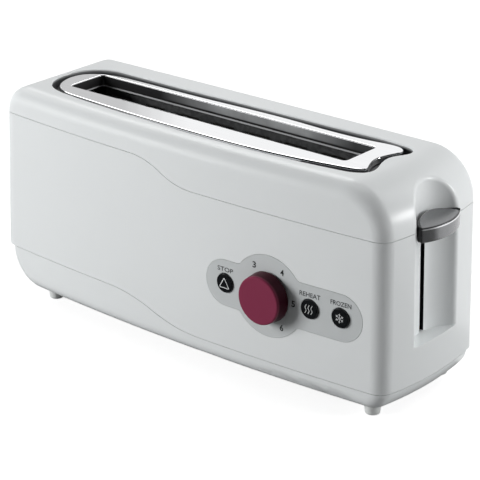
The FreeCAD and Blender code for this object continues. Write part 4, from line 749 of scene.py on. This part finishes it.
def finishes():
    """Every finish by the record's material slot."""
    return {
        "housing_white": housing_plastic(),
        "trim_chrome": trim_chrome(),
        "panel_grey": moulded("panel_film", shade(0.60, 0.625, 0.63), shade(0.575, 0.60, 0.605), (0.36, 0.46),
                              0.00004, 3200.0, 0.5, 0.6),
        "knob_burgundy": knob_plastic(),
        "button_black": moulded("button_plastic", shade(0.012, 0.013, 0.015), shade(0.008, 0.009, 0.01),
                                (0.2, 0.26), 0.00003, 2600.0, 0.4),
        "lever_silver": lever_paint(),
        "black_plastic": moulded("black_moulding", shade(0.022, 0.023, 0.025), shade(0.014, 0.015, 0.016),
                                 (0.35, 0.5), 0.00006),
        "foot_rubber": moulded("foot_rubber", shade(0.78, 0.80, 0.79), shade(0.72, 0.74, 0.73),
                               (0.4, 0.55), 0.00006),
        "tray_steel": metal_lines("tray_sheet", shade(0.62, 0.63, 0.64), shade(0.54, 0.55, 0.56),
                                  (0.28, 0.42), (0.02, 1.0, 1.0)),
        "chassis_steel": shield_steel(),
        "steel_plain": metal_lines("bright_steel", shade(0.68, 0.69, 0.70), shade(0.58, 0.59, 0.60),
                                   (0.18, 0.26), (1.0, 1.0, 0.05)),
        "mica_card": mica(),
        "heater_ribbon": metal_lines("heater_ribbon", shade(0.36, 0.34, 0.32), shade(0.24, 0.22, 0.21),
                                     (0.35, 0.5), (0.05, 1.0, 1.0)),
        "bumper_rubber": moulded("bumper_rubber", shade(0.03, 0.03, 0.03), shade(0.02, 0.02, 0.02),
                                 (0.55, 0.7), 0.0001),
        "coil_tape": metal_lines("coil_wrap", shade(0.62, 0.42, 0.12), shade(0.48, 0.30, 0.08), (0.3, 0.45),
                                 (1.0, 1.0, 0.05)),
        "board_green": board_laminate(),
        "contact_brass": metal_lines("contact_brass", shade(0.80, 0.60, 0.28), shade(0.66, 0.48, 0.2),
                                     (0.28, 0.36), (1.0, 0.05, 1.0)),
    }


def dress_nodes(table):
    """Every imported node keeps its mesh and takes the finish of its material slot."""
    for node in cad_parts.values():
        for spot in node.material_slots:
            spot.material = table[spot.material.name.split(".")[0]]


# Printed marks and symbols

def front_skin(x, z):
    """The panel's face at a place on the front.

    The bow is its radius less the root of radius squared less run squared, and the lean grows with height.
    """
    run = x - BOW_CENTRE_X
    bow = FRONT_BOW - np.sqrt(FRONT_BOW ** 2 - run ** 2)
    return BOARD_FRONT_Y - BOARD_SETBACK - PANEL_PROUD + bow + FRONT_DRAFT * (z - DIAL_Z)


def piece_from(name, points, faces, material, body):
    """A piece at the origin from its points and faces, riding on a body."""
    mesh = bpy.data.meshes.new(name)
    mesh.from_pydata(points, [], faces)
    mesh.validate()
    mesh.materials.append(material)
    piece = bpy.data.objects.new(name, mesh)
    bpy.context.scene.collection.objects.link(piece)
    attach(piece, body)
    return piece


def printed(name, words, centre_x, centre_z, width, height, weight, material):
    """Ink on the panel: flat letters, made bolder by the weight and stretched to width by height.

    They lie on the panel's face, from just above it to the ink's thickness more.
    """
    curve = bpy.data.curves.new(name, "FONT")
    curve.body = words
    curve.extrude = INK
    curve.offset = weight
    curve.resolution_u = 4
    holder = bpy.data.objects.new(name + "_outline", curve)
    letters = bpy.data.meshes.new_from_object(holder)
    spots = np.empty(len(letters.vertices) * 3)
    letters.vertices.foreach_get("co", spots)
    spots = spots.reshape(-1, 3)
    low, high = spots.min(axis=0), spots.max(axis=0)
    flat = (spots - (low + high) / 2) / (high - low)
    x = centre_x + flat[:, 0] * width
    z = centre_z + flat[:, 1] * height
    y = front_skin(x, z) - INK_LIFT - (flat[:, 2] + 0.5) * INK
    faces = [tuple(face.vertices) for face in letters.polygons]
    bpy.data.objects.remove(holder)
    return piece_from(name, np.column_stack((x, y, z)).tolist(), faces, material, "root")


def strip(path, width, closed=False):
    """A flat line with thickness.

    Each path point gives four corners: half the width to either side along the path's normal, at the top and
    at the underside of the ink.
    """
    path = np.asarray(path, float)
    if closed:
        run = np.roll(path, -1, axis=0) - np.roll(path, 1, axis=0)
    else:
        run = np.gradient(path, axis=0)
    run /= np.linalg.norm(run, axis=1)[:, None]
    side = np.column_stack((-run[:, 1], run[:, 0])) * width / 2
    left, right = path + side, path - side
    count = len(path)
    ring = np.stack((left, right, right, left), axis=1).reshape(-1, 2)
    level = np.tile((INK, INK, 0.0, 0.0), count)
    start = np.arange(count if closed else count - 1) * 4
    after = (start + 4) % (count * 4)
    faces = []
    for a, b in ((0, 1), (1, 2), (2, 3), (3, 0)):
        faces += np.column_stack((start + a, start + b, after + b, after + a)).tolist()
    if not closed:
        last = count * 4 - 4
        faces += [[3, 2, 1, 0], [last, last + 1, last + 2, last + 3]]
    return np.column_stack((ring, level)), faces


def rounded_loop(corners, radius, steps=6):
    """A polygon with round corners: at each corner an arc of that radius touches both sides.

    A point of the arc is its two end radii blended by sines of the shares of the sweep.
    """
    corners = np.asarray(corners, float)
    points = []
    neighbours = zip(np.roll(corners, 1, axis=0), corners, np.roll(corners, -1, axis=0))
    for before, corner, after in neighbours:
        back = (before - corner) / np.linalg.norm(before - corner)
        ahead = (after - corner) / np.linalg.norm(after - corner)
        half = math.acos(np.clip(back @ ahead, -1, 1)) / 2
        centre = corner + (back + ahead) / np.linalg.norm(back + ahead) * radius / math.sin(half)
        first = corner + back * radius / math.tan(half) - centre
        last = corner + ahead * radius / math.tan(half) - centre
        share = np.linspace(0, 1, steps)[:, None]
        sweep = math.pi - 2 * half
        arc = (np.sin((1 - share) * sweep) * first + np.sin(share * sweep) * last) / math.sin(sweep)
        points.append(centre + arc)
    return np.concatenate(points)


def symbol(name, strips, node, body, material):
    """Strips joined into one piece, lying on the middle of a button's face."""
    face_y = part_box(node)[0][1]
    points, faces = [], []
    for corners, quads in strips:
        faces += [[len(points) + index for index in quad] for quad in quads]
        x = middle(node, 0) + corners[:, 0]
        z = middle(node, 2) + corners[:, 1]
        points += np.column_stack((x, face_y - SYMBOL_LIFT - corners[:, 2], z)).tolist()
    return piece_from(name, points, faces, material, body)


def stop_strips():
    """A triangle's outline with slightly round corners, point up."""
    return [strip(rounded_loop(STOP_CORNERS, STOP_RADIUS), STOP_STROKE, closed=True)]


def heat_strips():
    """Three upright wavy lines: the sideways place is a cosine with one and a half swings on the way down."""
    fall = np.linspace(0.0, 1.0, 37)
    wave = HEAT_SWING * np.cos(fall * 3 * math.pi)
    rise = HEAT_HALF * (1 - 2 * fall)
    return [strip(np.column_stack((centre + wave, rise)), HEAT_STROKE) for centre in HEAT_PLACES]


def frost_strips():
    """Six arms round the middle, each with two barbs that spring from its sides and lean outwards."""
    strips = []
    for arm in range(6):
        angle = math.radians(30 + 60 * arm)
        along = np.array((math.cos(angle), math.sin(angle)))
        across = np.array((-along[1], along[0]))
        strips.append(strip([along * FROST_ARM[0], along * FROST_ARM[1]], FROST_STROKE))
        for side in (-1, 1):
            root = along * BARB_ROOT[0] + across * side * BARB_ROOT[1]
            tip = along * BARB_TIP[0] + across * side * BARB_TIP[1]
            strips.append(strip([root, tip], BARB_STROKE))
    return strips


def panel_marks():
    """The dial's numbers, the three words above the buttons and the three symbols on them."""
    rough, relief = (0.4, 0.5), 0.00001
    ink = moulded("dark_ink", shade(0.016, 0.018, 0.02), shade(0.012, 0.013, 0.015), rough, relief)
    grey_ink = moulded("grey_ink", shade(0.055, 0.06, 0.064), shade(0.045, 0.05, 0.053), rough, relief)
    pale_ink = moulded("pale_ink", shade(0.80, 0.82, 0.82), shade(0.74, 0.76, 0.76), rough, relief)
    for digit, angle in DIGIT_ANGLES.items():
        ring = SIDE_DIGIT_RING if abs(angle) == 90 else DIGIT_RING
        x = DIAL_X + ring * math.sin(math.radians(angle))
        z = DIAL_Z + ring * math.cos(math.radians(angle))
        width = DIGIT_WIDTH * (NARROW_DIGIT if digit == "1" else 1.0)
        printed("number_" + digit, digit, x, z, width, DIGIT_HEIGHT, DIGIT_WEIGHT, ink)
    for word, width in WORD_WIDTHS.items():
        button = word + "_button"
        printed(word + "_word", word.upper(), middle(button, 0), DIAL_Z + WORD_RISE,
                width, WORD_HEIGHT, WORD_WEIGHT, grey_ink)
    symbol("stop_symbol", stop_strips(), "stop_button", "stop_key", pale_ink)
    symbol("reheat_symbol", heat_strips(), "reheat_button", "reheat_key", pale_ink)
    symbol("frozen_symbol", frost_strips(), "frozen_button", "frozen_key", pale_ink)


bpy.context.scene.view_settings.view_transform = "Standard"
place_camera()
pale_world()
pale_floor()
studio_lights()
dress_nodes(finishes())
panel_marks()
